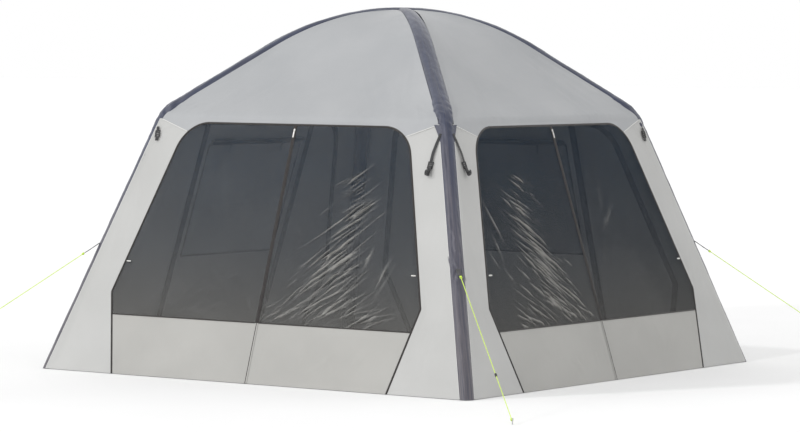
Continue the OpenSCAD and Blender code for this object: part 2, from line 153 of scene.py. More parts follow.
def streaks(x, s, seed, spots, depth):
    """Tension wrinkles: narrow ridges with a valley on each side. A spot is
    (centre x, centre s, spread x, spread s, angle, angle spread, length, width, count)."""
    rng = np.random.default_rng(seed)
    n = np.zeros(np.broadcast(x, s).shape)
    for cx, cs, spread_x, spread_s, angle, tilt, length, width, count in spots:
        for _ in range(count):
            px, ps = cx + rng.normal(0, spread_x), cs + rng.normal(0, spread_s)
            a = math.radians(angle + rng.normal(0, tilt))
            long, wide = length * rng.uniform(0.5, 1.4), width * rng.uniform(0.6, 1.4)
            high = depth * rng.uniform(0.35, 1.0)
            along = (x - px) * math.cos(a) + (s - ps) * math.sin(a)
            across = (-(x - px) * math.sin(a) + (s - ps) * math.cos(a)) / wide
            n = n + high * np.exp(-((along / long) ** 2) - across**2 / 1.2) * (1 - across**2)
    return n


# ---------- mesh building
def object_of(name, verts, faces, cloth):
    """A smooth object whose UV map holds cloth metres."""
    mesh = bpy.data.meshes.new(name)
    mesh.from_pydata([tuple(v) for v in verts], [], [tuple(int(i) for i in f) for f in faces])
    layer = mesh.uv_layers.new(name="cloth")
    index = np.zeros(len(mesh.loops), np.int32)
    mesh.loops.foreach_get("vertex_index", index)
    layer.data.foreach_set("uv", np.asarray(cloth, np.float32)[index].ravel())
    mesh.polygons.foreach_set("use_smooth", [True] * len(mesh.polygons))
    mesh.set_sharp_from_angle(angle=SHARP_ANGLE)
    mesh.validate()
    mesh.update()
    made = bpy.data.objects.new(name, mesh)
    bpy.context.scene.collection.objects.link(made)
    return made


def grid_normals(points, wrap=False):
    """Unit normals of a grid of points. wrap says that its last column meets its first."""
    ring = np.concatenate([points[:, -1:], points, points[:, :1]], 1) if wrap else points
    across = np.gradient(ring, axis=1)[:, 1:-1] if wrap else np.gradient(points, axis=1)
    normal = np.cross(across, np.gradient(points, axis=0))
    return normal / np.maximum(np.linalg.norm(normal, axis=2, keepdims=True), 1e-12)


def shell(points, cloth, thick, wrap=False):
    """A closed sheet around a grid of points: vertices, faces and cloth coordinates. wrap joins its first and last
    columns."""
    rows, cols = points.shape[:2]
    normal = grid_normals(points, wrap)
    verts = np.concatenate([(points + normal * thick / 2).reshape(-1, 3), (points - normal * thick / 2).reshape(-1, 3)])
    half = rows * cols
    i, j = np.arange(rows - 1), np.arange(cols if wrap else cols - 1)
    after = (j + 1) % cols
    a, b = i[:, None] * cols + j, i[:, None] * cols + after
    outer = np.stack([a, b, b + cols, a + cols], -1).reshape(-1, 4)

    def rim(p, q, flip):
        side = np.stack([q, p, p + half, q + half], -1)
        return side[:, ::-1] if flip else side

    faces = [outer, outer[:, ::-1] + half]
    faces += [rim(row * cols + j, row * cols + after, row > 0) for row in (0, rows - 1)]
    if not wrap:
        faces += [rim(i * cols + col, (i + 1) * cols + col, col == 0) for col in (0, cols - 1)]
    flat_cloth = np.asarray(cloth, float).reshape(-1, 2)
    return verts, np.concatenate(faces), np.concatenate([flat_cloth, flat_cloth])


def merged(name, parts):
    """One object from several (vertices, faces, cloth) parts."""
    verts, faces, cloth = [], [], []
    for v, f, c in parts:
        start = sum(map(len, verts))
        verts.append(v)
        faces.extend([[i + start for i in face] for face in f])
        cloth.append(c)
    return object_of(name, np.concatenate(verts), faces, np.concatenate(cloth))


def frames_along(path):
    """Two unit vectors across the path at each of its points, without twist."""
    tangent = unit(np.gradient(path, axis=0))
    side = np.cross(tangent[0], (0, 0, 1) if abs(tangent[0][2]) < 0.9 else (1, 0, 0))
    sides = []
    for t in tangent:
        side = unit(side - t * np.dot(side, t))
        sides.append(side)
    sides = np.array(sides)
    return sides, np.cross(tangent, sides)


def tube(path, radius, sides=10):
    """A closed round tube along a path. radius is a number, or an array with one value per point and side."""
    u, v = frames_along(path)
    a = np.arange(sides) * 2 * math.pi / sides
    radius = np.broadcast_to(radius, (len(path), sides))
    around_path = np.cos(a)[None, :, None] * u[:, None] + np.sin(a)[None, :, None] * v[:, None]
    ring = path[:, None] + radius[..., None] * around_path
    i, j = np.arange(len(path) - 1)[:, None], np.arange(sides)
    p, q = i * sides + j, i * sides + (j + 1) % sides
    faces = [*np.stack([p, q, q + sides, p + sides], -1).reshape(-1, 4), j[::-1], (len(path) - 1) * sides + j]
    cloth = together(run_along(path)[:, None], a * np.mean(radius))
    return ring.reshape(-1, 3), faces, cloth.reshape(-1, 2)


def rounded_box(size, centre, matrix=None, bevel=0.3, segments=2):
    """Vertices, faces and cloth coordinates of a box with rounded edges. bevel is a share of the shortest side."""
    import bmesh
    bm = bmesh.new()
    bmesh.ops.create_cube(bm, size=1)
    bmesh.ops.scale(bm, vec=size, verts=bm.verts)
    bmesh.ops.bevel(bm, geom=bm.edges[:], offset=bevel * min(size), segments=segments, affect="EDGES", profile=0.6)
    move = (matrix or Matrix.Identity(4)) @ Matrix.Translation(centre)
    bmesh.ops.transform(bm, matrix=move, verts=bm.verts)
    bm.verts.index_update()
    verts = np.array([v.co for v in bm.verts])
    faces = [[v.index for v in f.verts] for f in bm.faces]
    bm.free()
    return verts, faces, verts[:, :2]


def extra(name, parts, body, material):
    """A piece that rides on a body and stands for no CAD node."""
    made = merged(name, parts)
    made.data.materials.append(material)
    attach(made, body)
    return made


def stand(name, parts, node, material):
    """A piece that replaces a CAD node."""
    made = extra(name, parts, BODY_OF[node], material)
    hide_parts(node)
    return made


# ---------- materials
THREAD_HEIGHT = 0.0002
MESH_THREAD = 0.0016


def grey(value):
    return (value, value, value)


class Paint:
    """Builds one node-based material."""

    def __init__(self, name):
        self.material = bpy.data.materials.new(name)
        self.material.use_nodes = True
        self.nodes, self.links = self.material.node_tree.nodes, self.material.node_tree.links
        self.shader = self.nodes["Principled BSDF"]
        self.output = self.nodes["Material Output"]
        self.height = None

    def node(self, kind, **values):
        made = self.nodes.new(kind)
        for key, value in values.items():
            if key in made.inputs:
                made.inputs[key].default_value = value
            else:
                setattr(made, key, value)
        return made

    def link(self, a, b):
        self.links.new(a, b)

    def coordinates(self, cloth, scale):
        """Cloth metres, or object metres, times a scale or three scales."""
        if cloth:
            source = self.node("ShaderNodeUVMap", uv_map="cloth").outputs["UV"]
        else:
            source = self.node("ShaderNodeTexCoord").outputs["Object"]
        mapping = self.node("ShaderNodeMapping")
        mapping.inputs["Scale"].default_value = [float(v) for v in np.broadcast_to(scale, 3)]
        self.link(source, mapping.inputs["Vector"])
        return mapping.outputs["Vector"]

    def noise(self, cloth, scale, detail=3.0, rough=0.5):
        made = self.node("ShaderNodeTexNoise", Detail=detail, Roughness=rough)
        made.inputs["Scale"].default_value = 1
        self.link(self.coordinates(cloth, scale), made.inputs["Vector"])
        return made.outputs["Fac"]

    def wave(self, direction, period):
        """Threads or ribs of the cloth, with that period in metres."""
        made = self.node("ShaderNodeTexWave", wave_type="BANDS", bands_direction=direction)
        made.inputs["Scale"].default_value = 1
        step = 2 * math.pi / 20 / period          # a wave texture of scale 1 has 20 / (2 pi) bands per unit
        self.link(self.coordinates(True, step), made.inputs["Vector"])
        return made.outputs["Fac"]

    def weave(self, period):
        """Height of crossing threads."""
        return self.math("MULTIPLY", self.wave("X", period), self.wave("Y", period))

    def cloth_height(self):
        """Metres up the cloth."""
        parts = self.node("ShaderNodeSeparateXYZ")
        self.link(self.coordinates(True, 1), parts.inputs[0])
        return parts.outputs["Y"]

    def feed(self, value, socket):
        """Sets a socket to a number, or links it to an output."""
        if isinstance(value, (int, float)):
            socket.default_value = value
        else:
            self.link(value, socket)

    def math(self, operation, *values):
        made = self.node("ShaderNodeMath", operation=operation)
        for socket, value in zip(made.inputs, values):
            self.feed(value, socket)
        return made.outputs["Value"]

    def colour(self, output):
        self.link(output, self.shader.inputs["Base Color"])

    def surface(self, fac, first, second):
        """The surface goes from the first shader to the second with fac."""
        mix = self.node("ShaderNodeMixShader")
        self.feed(fac, mix.inputs["Fac"])
        self.link(first.outputs[0], mix.inputs[1])
        self.link(second.outputs[0], mix.inputs[2])
        self.link(mix.outputs[0], self.output.inputs["Surface"])

    def varied_roughness(self, scale, mean, spread):
        rough = self.math("MULTIPLY_ADD", self.noise(scale[0], scale[1]), spread, mean - spread / 2)
        self.link(rough, self.shader.inputs["Roughness"])

    def ramp(self, fac, stops):
        made = self.node("ShaderNodeValToRGB")
        elements = made.color_ramp.elements
        for e, (at, colour) in zip([elements[0], elements[1]], (stops[0], stops[-1])):
            e.position, e.color = at, (*colour, 1)
        for at, colour in stops[1:-1]:
            e = elements.new(at)
            e.color = (*colour, 1)
        self.link(fac, made.inputs["Fac"])
        return made.outputs["Color"]

    def blend(self, fac, colour, other):
        """The colour, going to the other one where fac is 1."""
        made = self.node("ShaderNodeMix", data_type="RGBA")
        self.link(fac, made.inputs["Factor"])
        self.link(colour, made.inputs[6])
        made.inputs[7].default_value = (*other, 1)
        return made.outputs[2]

    def bump(self, height, distance, strength=1.0):
        """Adds one layer of bump, on top of those before it."""
        made = self.node("ShaderNodeBump", Strength=strength, Distance=distance)
        self.link(height, made.inputs["Height"])
        if self.height is not None:
            self.link(self.height, made.inputs["Normal"])
        self.height = made.outputs["Normal"]
        self.link(self.height, self.shader.inputs["Normal"])

    def finish(self, roughness, specular=0.5, sheen=0.0, metallic=0.0):
        for name, value in (("Roughness", roughness), ("Specular IOR Level", specular), ("Sheen Weight", sheen),
                            ("Metallic", metallic)):
            self.shader.inputs[name].default_value = value
        return self.material


def tent_cloth(name, light, shade, glow, weave=0.0011, roughness=0.55):
    """Coated polyester: plain weave, faint creases and blotches, and some light let through, a little cooler."""
    p = Paint(name)
    p.colour(p.ramp(p.noise(True, 1.7, 4.0), [(0.30, shade), (0.72, light)]))
    p.bump(p.noise(True, (9, 5, 7), 5.0, 0.55), 0.004, 0.35)
    p.bump(p.weave(weave), THREAD_HEIGHT, 0.5)
    p.varied_roughness((True, 26), roughness, 0.16)
    cooler = (0.80 * light[0], 0.95 * light[1], 1.12 * light[2], 1)
    p.surface(glow, p.shader, p.node("ShaderNodeBsdfTranslucent", Color=cooler))
    p.shader.inputs["Sheen Roughness"].default_value = 0.5
    return p.finish(roughness, 0.35, 0.15)


def sleeve_cloth(name):
    """Dark coated cloth with lengthwise pulls, whose folds get painted shade: greyer low on the beam, and painted shade
    makes it navy over the roof.
    """
    p = Paint(name)
    # Painted shade: the colour darkens from grey low on the beam to dark navy over the roof.
    height = p.math("MULTIPLY_ADD", p.cloth_height(), 0.30, p.noise(True, (3, 1.2, 2), 4.0))
    colour = p.ramp(height, [(0.35, (0.105, 0.094, 0.102)), (0.80, (0.075, 0.072, 0.095)),
                             (1.0, (0.026, 0.034, 0.070))])
    pulls = p.noise(True, (95, 3.0, 5), 5.0, 0.6)
    # Painted shade: the lengthwise pulls are painted darker navy in their folds. Their bump is real relief.
    p.colour(p.blend(p.ramp(pulls, [(0.40, grey(0.75)), (0.56, grey(0))]), colour, (0.022, 0.025, 0.048)))
    p.bump(pulls, 0.004, 0.5)
    p.bump(p.noise(True, (22, 14, 12), 5.0, 0.6), 0.006, 0.4)
    p.bump(p.weave(0.0014), THREAD_HEIGHT, 0.5)
    return p.finish(0.42, 0.5, 0.25)


def insect_mesh(name, dark, light, open_share, low_colour=None, rows=0.55, specular=0.30, sheen=0.08):
    """Fine knitted mesh that can be seen through, paler near the ground when a colour for there is given. rows says how
    strongly its knitted rows show. Its folds are denser, and painted paler as a highlight, where the crease attribute
    of the object says."""
    p = Paint(name)
    colour = p.ramp(p.noise(True, 2.2, 3.0), [(0.32, dark), (0.70, light)])
    knit = p.math("MAXIMUM", p.wave("X", MESH_THREAD), p.wave("Y", MESH_THREAD))
    solid = p.math("MULTIPLY_ADD", knit, 0.24, 1 - open_share - 0.18)
    if low_colour:
        # Paler towards the ground, going by the cloth height. The shaded copy of the net gets a darker colour here, as
        # painted shade.
        above_band = p.math("SUBTRACT", p.cloth_height(), 0.30)
        colour = p.blend(p.ramp(above_band, [(0.05, grey(1)), (0.50, grey(0.35)), (1.0, grey(0))]), colour, low_colour)
        faint = p.ramp(p.noise(True, (14, 170, 9), 4.0, 0.6), [(0.42, grey(0)), (0.70, grey(rows))])
        colour = p.blend(faint, colour, (0.105, 0.108, 0.110))
        # Painted highlight: the folds' ridges are painted paler, as if they caught the light. The added density stands
        # for the net bunched in its folds.
        fold = p.node("ShaderNodeAttribute", attribute_name="crease").outputs["Fac"]
        colour = p.blend(fold, colour, (0.29, 0.285, 0.27))
        solid = p.math("MINIMUM", p.math("ADD", solid, p.math("MULTIPLY", fold, 0.30)), 0.90)
    p.colour(colour)
    p.bump(p.noise(True, (30, 12, 20), 4.0), 0.004, 0.45)
    p.bump(knit, THREAD_HEIGHT, 0.6)
    p.surface(solid, p.node("ShaderNodeBsdfTransparent"), p.shader)
    return p.finish(0.34, specular, sheen)


def ribbed(name, dark, light, rib, direction="Y", roughness=0.6):
    """Webbing, tape or cord: ribs across it, and worn colour."""
    p = Paint(name)
    ribs, wear = p.wave(direction, rib), p.noise(True, (40, 12, 20), 4.0)
    p.colour(p.ramp(p.math("MULTIPLY_ADD", ribs, 0.35, wear), [(0.35, dark), (0.95, light)]))
    p.bump(ribs, 0.0006, 0.7)
    p.bump(wear, 0.0006, 0.4)
    return p.finish(roughness, 0.4, 0.2)


def moulded(name, dark, light, roughness, metallic=0.0, grain=240):
    """Moulded plastic or metal: fine grain, and a little wear in its gloss."""
    p = Paint(name)
    p.colour(p.ramp(p.noise(False, 12, 5.0), [(0.3, dark), (0.7, light)]))
    p.bump(p.noise(False, grain, 2.0), 0.0003, 0.35)
    p.varied_roughness((False, 45), roughness, 0.2)
    return p.finish(roughness, 0.5, 0.0, metallic)


# Painted shade: the roof is the same fabric as the walls, painted darker and a little bluer.
ROOF = tent_cloth("roof_cloth", (0.405, 0.413, 0.423), (0.350, 0.360, 0.373), 0.10)
WALL = tent_cloth("wall_cloth", (0.50, 0.50, 0.49), (0.448, 0.448, 0.438), 0.09)
BAND = tent_cloth("band_cloth", (0.425, 0.42, 0.40), (0.372, 0.367, 0.350), 0.09)
SLEEVE = sleeve_cloth("sleeve_cloth")
NET = insect_mesh("insect_mesh", (0.006, 0.018, 0.036), (0.012, 0.027, 0.048), 0.66, (0.115, 0.112, 0.104))
# Painted shade: a darker copy of the door net for the right wall's leaves, which get less light. It is darker, less
# open and almost without gloss.
SHADED_NET = insect_mesh("insect_mesh_shaded", (0.005, 0.014, 0.028), (0.010, 0.022, 0.038), 0.46,
                       (0.070, 0.069, 0.066), rows=0.35, specular=0.06, sheen=0.0)
WINDOW_NET = insect_mesh("window_mesh", (0.080, 0.095, 0.110), (0.100, 0.115, 0.130), 0.18)
TAPE = ribbed("zip_tape", (0.008, 0.007, 0.007), (0.028, 0.022, 0.020), 0.0022, "X")
WEBBING = ribbed("webbing", (0.008, 0.008, 0.009), (0.035, 0.035, 0.038), 0.0020, "Y")
CORD = ribbed("guy_cord", (0.42, 0.60, 0.03), (0.72, 0.95, 0.12), 0.0040, "X", 0.5)
BLIND = tent_cloth("blind_cloth", (0.050, 0.048, 0.048), (0.030, 0.029, 0.030), 0.0)
WELT = tent_cloth("welt_tape", (0.72, 0.72, 0.70), (0.64, 0.64, 0.62), 0.0)
AIR_FILM = tent_cloth("air_film", (0.62, 0.66, 0.72), (0.52, 0.56, 0.62), 0.2, 0.002, 0.3)
BLACK = moulded("black_plastic", (0.010, 0.010, 0.011), (0.028, 0.028, 0.030), 0.42)
PALE = moulded("pale_plastic", (0.62, 0.61, 0.58), (0.76, 0.75, 0.72), 0.45)
WHITE = moulded("white_plastic", (0.70, 0.70, 0.69), (0.80, 0.80, 0.79), 0.35)
STEEL = moulded("steel", (0.42, 0.42, 0.43), (0.62, 0.62, 0.63), 0.32, 1.0, 400)

# ---------- camera
AZIMUTH, ELEVATION, ROLL, DISTANCE = math.radians(35.21), math.radians(2.80), math.radians(0.35), 21.487
AIM = Vector((-0.007, -0.005, 0.908))
camera = bpy.data.objects.new("camera", bpy.data.cameras.new("camera"))
bpy.context.scene.collection.objects.link(camera)
back = Vector((math.sin(AZIMUTH) * math.cos(ELEVATION), -math.cos(AZIMUTH) * math.cos(ELEVATION), math.sin(ELEVATION)))
camera.location = AIM + back * DISTANCE
camera.rotation_euler = (back.to_track_quat("Z", "Y").to_matrix() @ Matrix.Rotation(ROLL, 3, "Z")).to_euler()
camera.data.sensor_width = 36
camera.data.lens = 158.94
camera.data.clip_end = 500
bpy.context.scene.camera = camera


# ---------- guy lines
def placed_at(want, at, points):
    """Points of a line at the wanted lengths, where at holds the length to each given point."""
    return np.stack([np.interp(want, at, column) for column in points.T], -1)


def spaced(points, step):
    """Points at about equal steps along straight pieces."""
    points = np.asarray(points, float)
    at = run_along(points)
    return placed_at(np.linspace(0, at[-1], max(2, int(round(at[-1] / step)) + 1)), at, points)


def guy_line(k, route, node):
    """A three-strand cord from the loop to the peg, with a knot at each end."""
    rz = spaced(route, 0.005)
    path = at_corner(k, rz[:, 0], 0.0, rz[:, 1])
    strands, pitch, sides = 3, 0.016, 12
    a = np.arange(sides) * 2 * math.pi / sides
    at = np.linspace(0, 1, len(path))[:, None] * np.linalg.norm(path[-1] - path[0])
    radius = GUY_R * (0.88 + 0.12 * np.cos(strands * a[None] - 2 * math.pi * at / pitch))
    line = stand(node.replace("guy_line", "guy_cord"), [tube(path, radius, sides)], node, CORD)
    knots, turns = [], 2.6
    for end, toward in ((route[0], route[1]), (route[3], route[2])):
        centre = at_corner(k, end[0], 0.0, end[1])
        along = unit(at_corner(k, toward[0], 0.0, toward[1]) - centre)
        side = unit(np.cross(along, (0, 0, 1)))
        turn = np.linspace(0, 2 * math.pi * turns, 60)
        wrap = centre + np.outer(0.004 + 0.014 * turn / turn[-1], along)
        wrap = wrap + 0.0052 * (np.outer(np.cos(turn), side) + np.outer(np.sin(turn), np.cross(side, along)))
        knots.append(tube(wrap, GUY_R * 0.9, 8))
    knots = extra(f"guy_knots_{CORNER_NAMES[k]}", knots, "canopy", CORD)
    return line, knots, path, float(run_along(path)[-1])


GUY_ROUTES = {FRONT_RIGHT: FRONT_ROUTE, FRONT_LEFT: SIDE_ROUTE, REAR_RIGHT: SIDE_ROUTE}
GUYS = {k: guy_line(k, route, f"guy_line_{CORNER_NAMES[k]}") for k, route in GUY_ROUTES.items()}


# ---------- door outline, in the wall frame
K1 = (DOOR_KINK_X - DOOR_GROUND_X) / DOOR_KINK_S
K2 = (DOOR_TOP_X - DOOR_KINK_X) / (DOOR_TOP_S - DOOR_KINK_S)
C1, C2 = math.hypot(1, K1), math.hypot(1, K2)
SIDE_TILT = math.atan(-K2)
ARC_S = DOOR_TOP_S - DOOR_CORNER_R
ARC_X = DOOR_TOP_X - DOOR_CORNER_R * math.tan((math.pi / 2 - SIDE_TILT) / 2)
WELT_ANGLE = SIDE_TILT + (math.pi / 2 - SIDE_TILT) * WELT_STEP / ARC_STEPS     # where the welt meets the door's arc
TOUCH = SLEEVE_R * math.tan(math.acos(SIN_L * SIN_L) / 2)       # from the corner's edge to where wall meets sleeve
FLANGE_OUT = (TOUCH + FLANGE) / COS_L
FLANGE_IN = (TOUCH - 0.003) / COS_L


def outline(inside, s_low, step=0.010, last_angle=math.pi / 2):
    """The door's outer edge from s_low up, on the +x side, as points (x, s)."""
    kink = (DOOR_KINK_X - DOOR_GROUND_X - inside * (C2 - C1) - K2 * DOOR_KINK_S) / (K1 - K2)
    low = (DOOR_GROUND_X - inside * C1 + K1 * s_low, s_low)
    mid = (DOOR_GROUND_X - inside * C1 + K1 * kink, kink)
    r = DOOR_CORNER_R - inside
    start = (ARC_X + r * math.cos(SIDE_TILT), ARC_S + r * math.sin(SIDE_TILT))
    straight = np.concatenate([spaced([low, mid], step)[:-1], spaced([mid, start], step)[:-1]])
    a = np.linspace(SIDE_TILT, last_angle, max(4, int((last_angle - SIDE_TILT) * r / step * 1.6)))
    return np.concatenate([straight, np.stack([ARC_X + r * np.cos(a), ARC_S + r * np.sin(a)], -1)])


def edge_mask(rows, cols, soft=5):
    """0 at the edges of a grid and 1 inside it."""
    i, j = np.arange(rows)[:, None], np.arange(cols)[None]
    near = np.minimum(np.minimum(i, rows - 1 - i), np.minimum(j, cols - 1 - j)) / soft
    near = np.clip(near, 0, 1)
    return near * near * (3 - 2 * near)


def between(left_edge, right_edge, f):
    """x and s of the points at shares f of the way from one edge to the other, row by row."""
    return (left_edge[:, i:i + 1] * (1 - f) + right_edge[:, i:i + 1] * f for i in range(2))


def wall_sheet(k, left_edge, right_edge, step, thick, relief, beam_side=0):
    """A sheet in a wall plane between two edges, both running upwards with the same count. relief(x, s) moves it
    outwards, and fades at its edges. beam_side 1 or -1 says which edge rises onto a beam sleeve."""
    cols = max(6, int(round(np.max(right_edge[:, 0] - left_edge[:, 0]) / step)) + 1)
    x, s = between(left_edge, right_edge, np.linspace(0, 1, cols))
    n = relief(x, s) * edge_mask(*x.shape) - 0.001
    if beam_side:
        from_beam = (right_edge[:, :1] - x) if beam_side > 0 else (x - left_edge[:, :1])
        n = n + 0.0042 * np.exp(-((from_beam / 0.030) ** 2))
    return shell(on_wall(k, x, s, n), together(x, s), thick)


def strip(k, one, other, sign, n=0.0010, thick=0.0008):
    """A flat tape between two lines of the +x side."""
    f = np.linspace(0, 1, 5)
    x, s = between(one, other, f)
    return shell(on_wall(k, sign * x, s, n), together(run_along(one)[:, None], f * 0.01), thick)


def mirrored(points):
    return points * np.array([-1, 1])


def held_to(points, x):
    """The same rows with another x."""
    return together(x, points[:, 1])


def sheet_edges(inner, outer, sign):
    """The left and right edges of a sheet between two lines of the +x side, or its mirror image."""
    return (inner, outer) if sign > 0 else (mirrored(outer), mirrored(inner))


def area_of(edges):
    """Flat area between two edges of a wall sheet."""
    left, right = edges
    width, height = right[:, 0] - left[:, 0], (left[:, 1] + right[:, 1]) / 2
    return float(np.sum((width[1:] + width[:-1]) / 2 * np.diff(height)))


# ---------- mesh door leaves
NEAR_SPOTS = [
    (0.50, 1.21, 0.05, 0.05, 34, 5, 0.055, 0.0055, 16), (0.56, 1.07, 0.06, 0.07, 37, 4, 0.075, 0.0060, 26),
    (0.54, 0.92, 0.07, 0.08, 38, 4, 0.085, 0.0060, 30), (0.46, 0.77, 0.08, 0.07, 39, 5, 0.090, 0.0062, 40),
    (0.42, 0.62, 0.11, 0.07, 38, 5, 0.085, 0.0062, 62), (0.46, 0.47, 0.15, 0.05, 36, 6, 0.075, 0.0062, 66),
    (0.80, 0.42, 0.07, 0.03, 25, 8, 0.070, 0.0070, 14), (0.20, 0.42, 0.09, 0.03, 42, 9, 0.045, 0.0070, 16),
    (0.90, 1.40, 0.02, 0.03, 50, 8, 0.035, 0.0070, 5), (0.82, 0.75, 0.10, 0.15, 65, 8, 0.090, 0.014, 5),
]
FAR_SPOTS = [
    (0.60, 1.49, 0.04, 0.03, -38, 10, 0.030, 0.007, 7), (0.45, 0.52, 0.20, 0.06, -35, 8, 0.070, 0.009, 16),
    (0.86, 0.60, 0.05, 0.06, -50, 12, 0.045, 0.009, 7), (0.30, 0.90, 0.18, 0.20, 60, 20, 0.090, 0.022, 6),
]
NEAR_STEP, FAR_STEP = 0.0055, 0.011      # grid of the wrinkled leaf beside the front corner, and of the other


def wrinkles(near, x, s, seed):
    """Strong beside the front corner, faint on the far leaf."""
    return streaks(x, s, seed, NEAR_SPOTS if near else FAR_SPOTS, 0.0075 if near else 0.0045)


def leaf_relief(near, sign, seed):
    """Wrinkles of a door leaf. The net also bellies a little."""
    def relief(x, s):
        ax = x * sign
        n = wrinkles(near, ax, s, seed)
        rise = (s - SKIRT_S) / 0.045
        n = n + 0.0045 * noise(ax / 0.028, s / 0.2, seed + 1) * np.exp(-rise)
        n = n + 0.0030 * noise(ax / 0.16, s / 0.22, seed + 2)
        return n - 0.010 * np.sin(np.clip((s - SKIRT_S) / 1.2, 0, 1) * math.pi) * np.clip(ax / 0.9, 0, 1)
    return relief


for k in (FRONT, RIGHT):
    for side in ("left", "right"):
        sign = -1 if side == "left" else 1
        inside = EDGE_ZIP_W + MOVE_GAP
        inner = CENTRE_ZIP_W / 2 + (SEAM if side == "left" else MOVE_GAP)
        near = (k == FRONT) == (side == "right")
        step = NEAR_STEP if near else FAR_STEP
        outer = outline(inside, SKIRT_S, step)
        edges = sheet_edges(held_to(outer, inner), outer, sign)
        wall, name, seed = WALL_NAMES[k], f"{WALL_NAMES[k]}_mesh_{side}", 11 + 7 * k + sign
        part = wall_sheet(k, *edges, step, NET_CLOTH, leaf_relief(near, sign, seed))
        # The right wall's leaves take the copy of the net that is darker as painted shade.
        net = stand(f"{wall}_net_{side}", [part], name, NET if k == FRONT else SHADED_NET)
        x, s = part[2].T
        # folds measures the wrinkles' ridges. The crease attribute made from it paints them paler as a highlight, and
        # makes them denser.
        folds = wrinkles(near, x * sign, s, seed) / (0.009 if near else 0.020)
        crease = net.data.attributes.new("crease", "FLOAT", "POINT")
        crease.data.foreach_set("value", (np.clip(folds, 0, 1) ** 1.3).astype(np.float32))
        low, top_s = outline(inside, HEM, 0.012), SKIRT_S - SEAM
        low = np.concatenate([low[low[:, 1] < top_s], [[DOOR_GROUND_X - inside * C1 + K1 * top_s, top_s]]])
        edges = sheet_edges(held_to(low, inner), low, sign)

        def band_relief(x, s, seed=41 + 5 * k + sign, sign=sign):
            drop = (SKIRT_S - s) / 0.05
            n = 0.0022 * noise(x / 0.05, s / 0.3, seed) * np.exp(-drop)
            n = n + 0.0045 * noise(x / 0.30, s / 0.22, seed + 1)
            return n + streaks(x * sign, s, seed, [(0.5, 0.18, 0.3, 0.08, 60, 30, 0.07, 0.022, 9)], 0.0022)

        lap = spaced([(inner + 0.004, HEM), (inner + 0.004, SKIRT_S)], 0.02)
        over_zip = strip(k, held_to(lap, 0.0026), lap, sign, 0.00165, 0.0005)
        band = stand(f"{wall}_band_{side}", [wall_sheet(k, *edges, 0.013, CLOTH, band_relief), over_zip],
                     name.replace("mesh", "skirt"), BAND)
        rim = outline(inside, SKIRT_S, 0.012)
        edge = spaced([(inner, SKIRT_S), (inner, rim[-1][1])], 0.02)
        seam = spaced([(inner, SKIRT_S), (rim[0][0], SKIRT_S)], 0.02)
        hem = [strip(k, edge, edge + [0.004, 0], sign), strip(k, seam - [0, 0.002], seam + [0, 0.005], sign)]
        extra(f"{wall}_leaf_binding_{side}", hem, BODY_OF[name], TAPE)

# ---------- corner panels
WALL_STEP = 0.016                        # grid of the smoother wall panels

for k in range(4):
    parts, area = [], 0.0
    for wall_k, sign in ((k, 1), (k + 1, -1)):
        low = outline(-SEAM, HEM, 0.016, WELT_ANGLE)
        top = spaced([low[-1], (HALF - WELT_S * SIN_L - FLANGE_OUT - 0.002, WELT_S)], 0.014)[1:]
        door = np.concatenate([low, top])
        bare = k == FRONT_RIGHT
        beam_gap = FLANGE_OUT + SEAM if bare else (TOUCH + 0.002) / COS_L
        beam = np.stack([HALF - door[:, 1] * SIN_L - beam_gap, door[:, 1]], -1)
        edges = sheet_edges(door, beam, sign)
        seed = 71 + 3 * k + sign

        def corner_relief(x, s, seed=seed, sign=sign):
            ax = x * sign
            n = 0.0035 * noise(ax / 0.20, s / 0.45, seed)
            n = n + streaks(ax, s, seed, [(1.22, 0.9, 0.08, 0.4, 83, 7, 0.20, 0.022, 7),
                                          (0.98, 1.50, 0.04, 0.05, -35, 12, 0.06, 0.012, 6)], 0.0022)
            return n - 0.004

        parts.append(wall_sheet(wall_k, *edges, WALL_STEP, CLOTH, corner_relief, beam_side=0 if bare else sign))
        area += area_of(edges)
    panels = stand(f"corner_cloth_{CORNER_NAMES[k]}", parts, f"corner_panels_{CORNER_NAMES[k]}", WALL)

# ---------- roof panels
ARC_OUT = ROOF_ARC_R + PANEL_RISE
ARC_Z = APEX_AXIS - ROOF_ARC_R
ROOF_M = math.tan(ROOF_SLOPE) * ROOT2
FLAT_Q, FLAT_Z = ARC_OUT * math.sin(ROOF_SLOPE) / ROOT2, ARC_Z + ARC_OUT * math.cos(ROOF_SLOPE)
SHOULDER_Z = (FLAT_Z + ROOF_M * (FLAT_Q - HALF)) / (1 - ROOF_M * TAN_L)
SHOULDER_S = SHOULDER_Z / COS_L
WEDGE = 0.0640                       # the panel's edge reaches the side of the sleeve
ROOF_END_Q = 0.074
SHOULDER_REACH = 0.024               # the fold at the shoulder starts this far before its corner
EDGE_LIFT = 0.013                    # the beam lifts the panel's edge


def roof_profile():
    """Points (q, z) from the start of the rounded shoulder to the crown, at the middle of a panel."""
    corner = np.array([HALF - SHOULDER_Z * TAN_L, SHOULDER_Z])
    before = corner + SHOULDER_REACH * np.array([SIN_L, -COS_L])
    away = np.array([FLAT_Q, FLAT_Z]) - corner
    after = corner + SHOULDER_REACH * away / np.linalg.norm(away)
    b = np.linspace(0, 1, 8)[:-1, None]
    fold = before * (1 - b) ** 2 + corner * 2 * b * (1 - b) + after * b * b
    slope = np.concatenate([fold, spaced([after, (FLAT_Q, FLAT_Z)], 0.016)[:-1]])
    a = np.linspace(ROOF_SLOPE, math.asin(ROOF_END_Q * ROOT2 / ARC_OUT), 48)
    arc = np.stack([ARC_OUT * np.sin(a) / ROOT2, ARC_Z + ARC_OUT * np.cos(a)], -1)
    return np.concatenate([slope, arc])


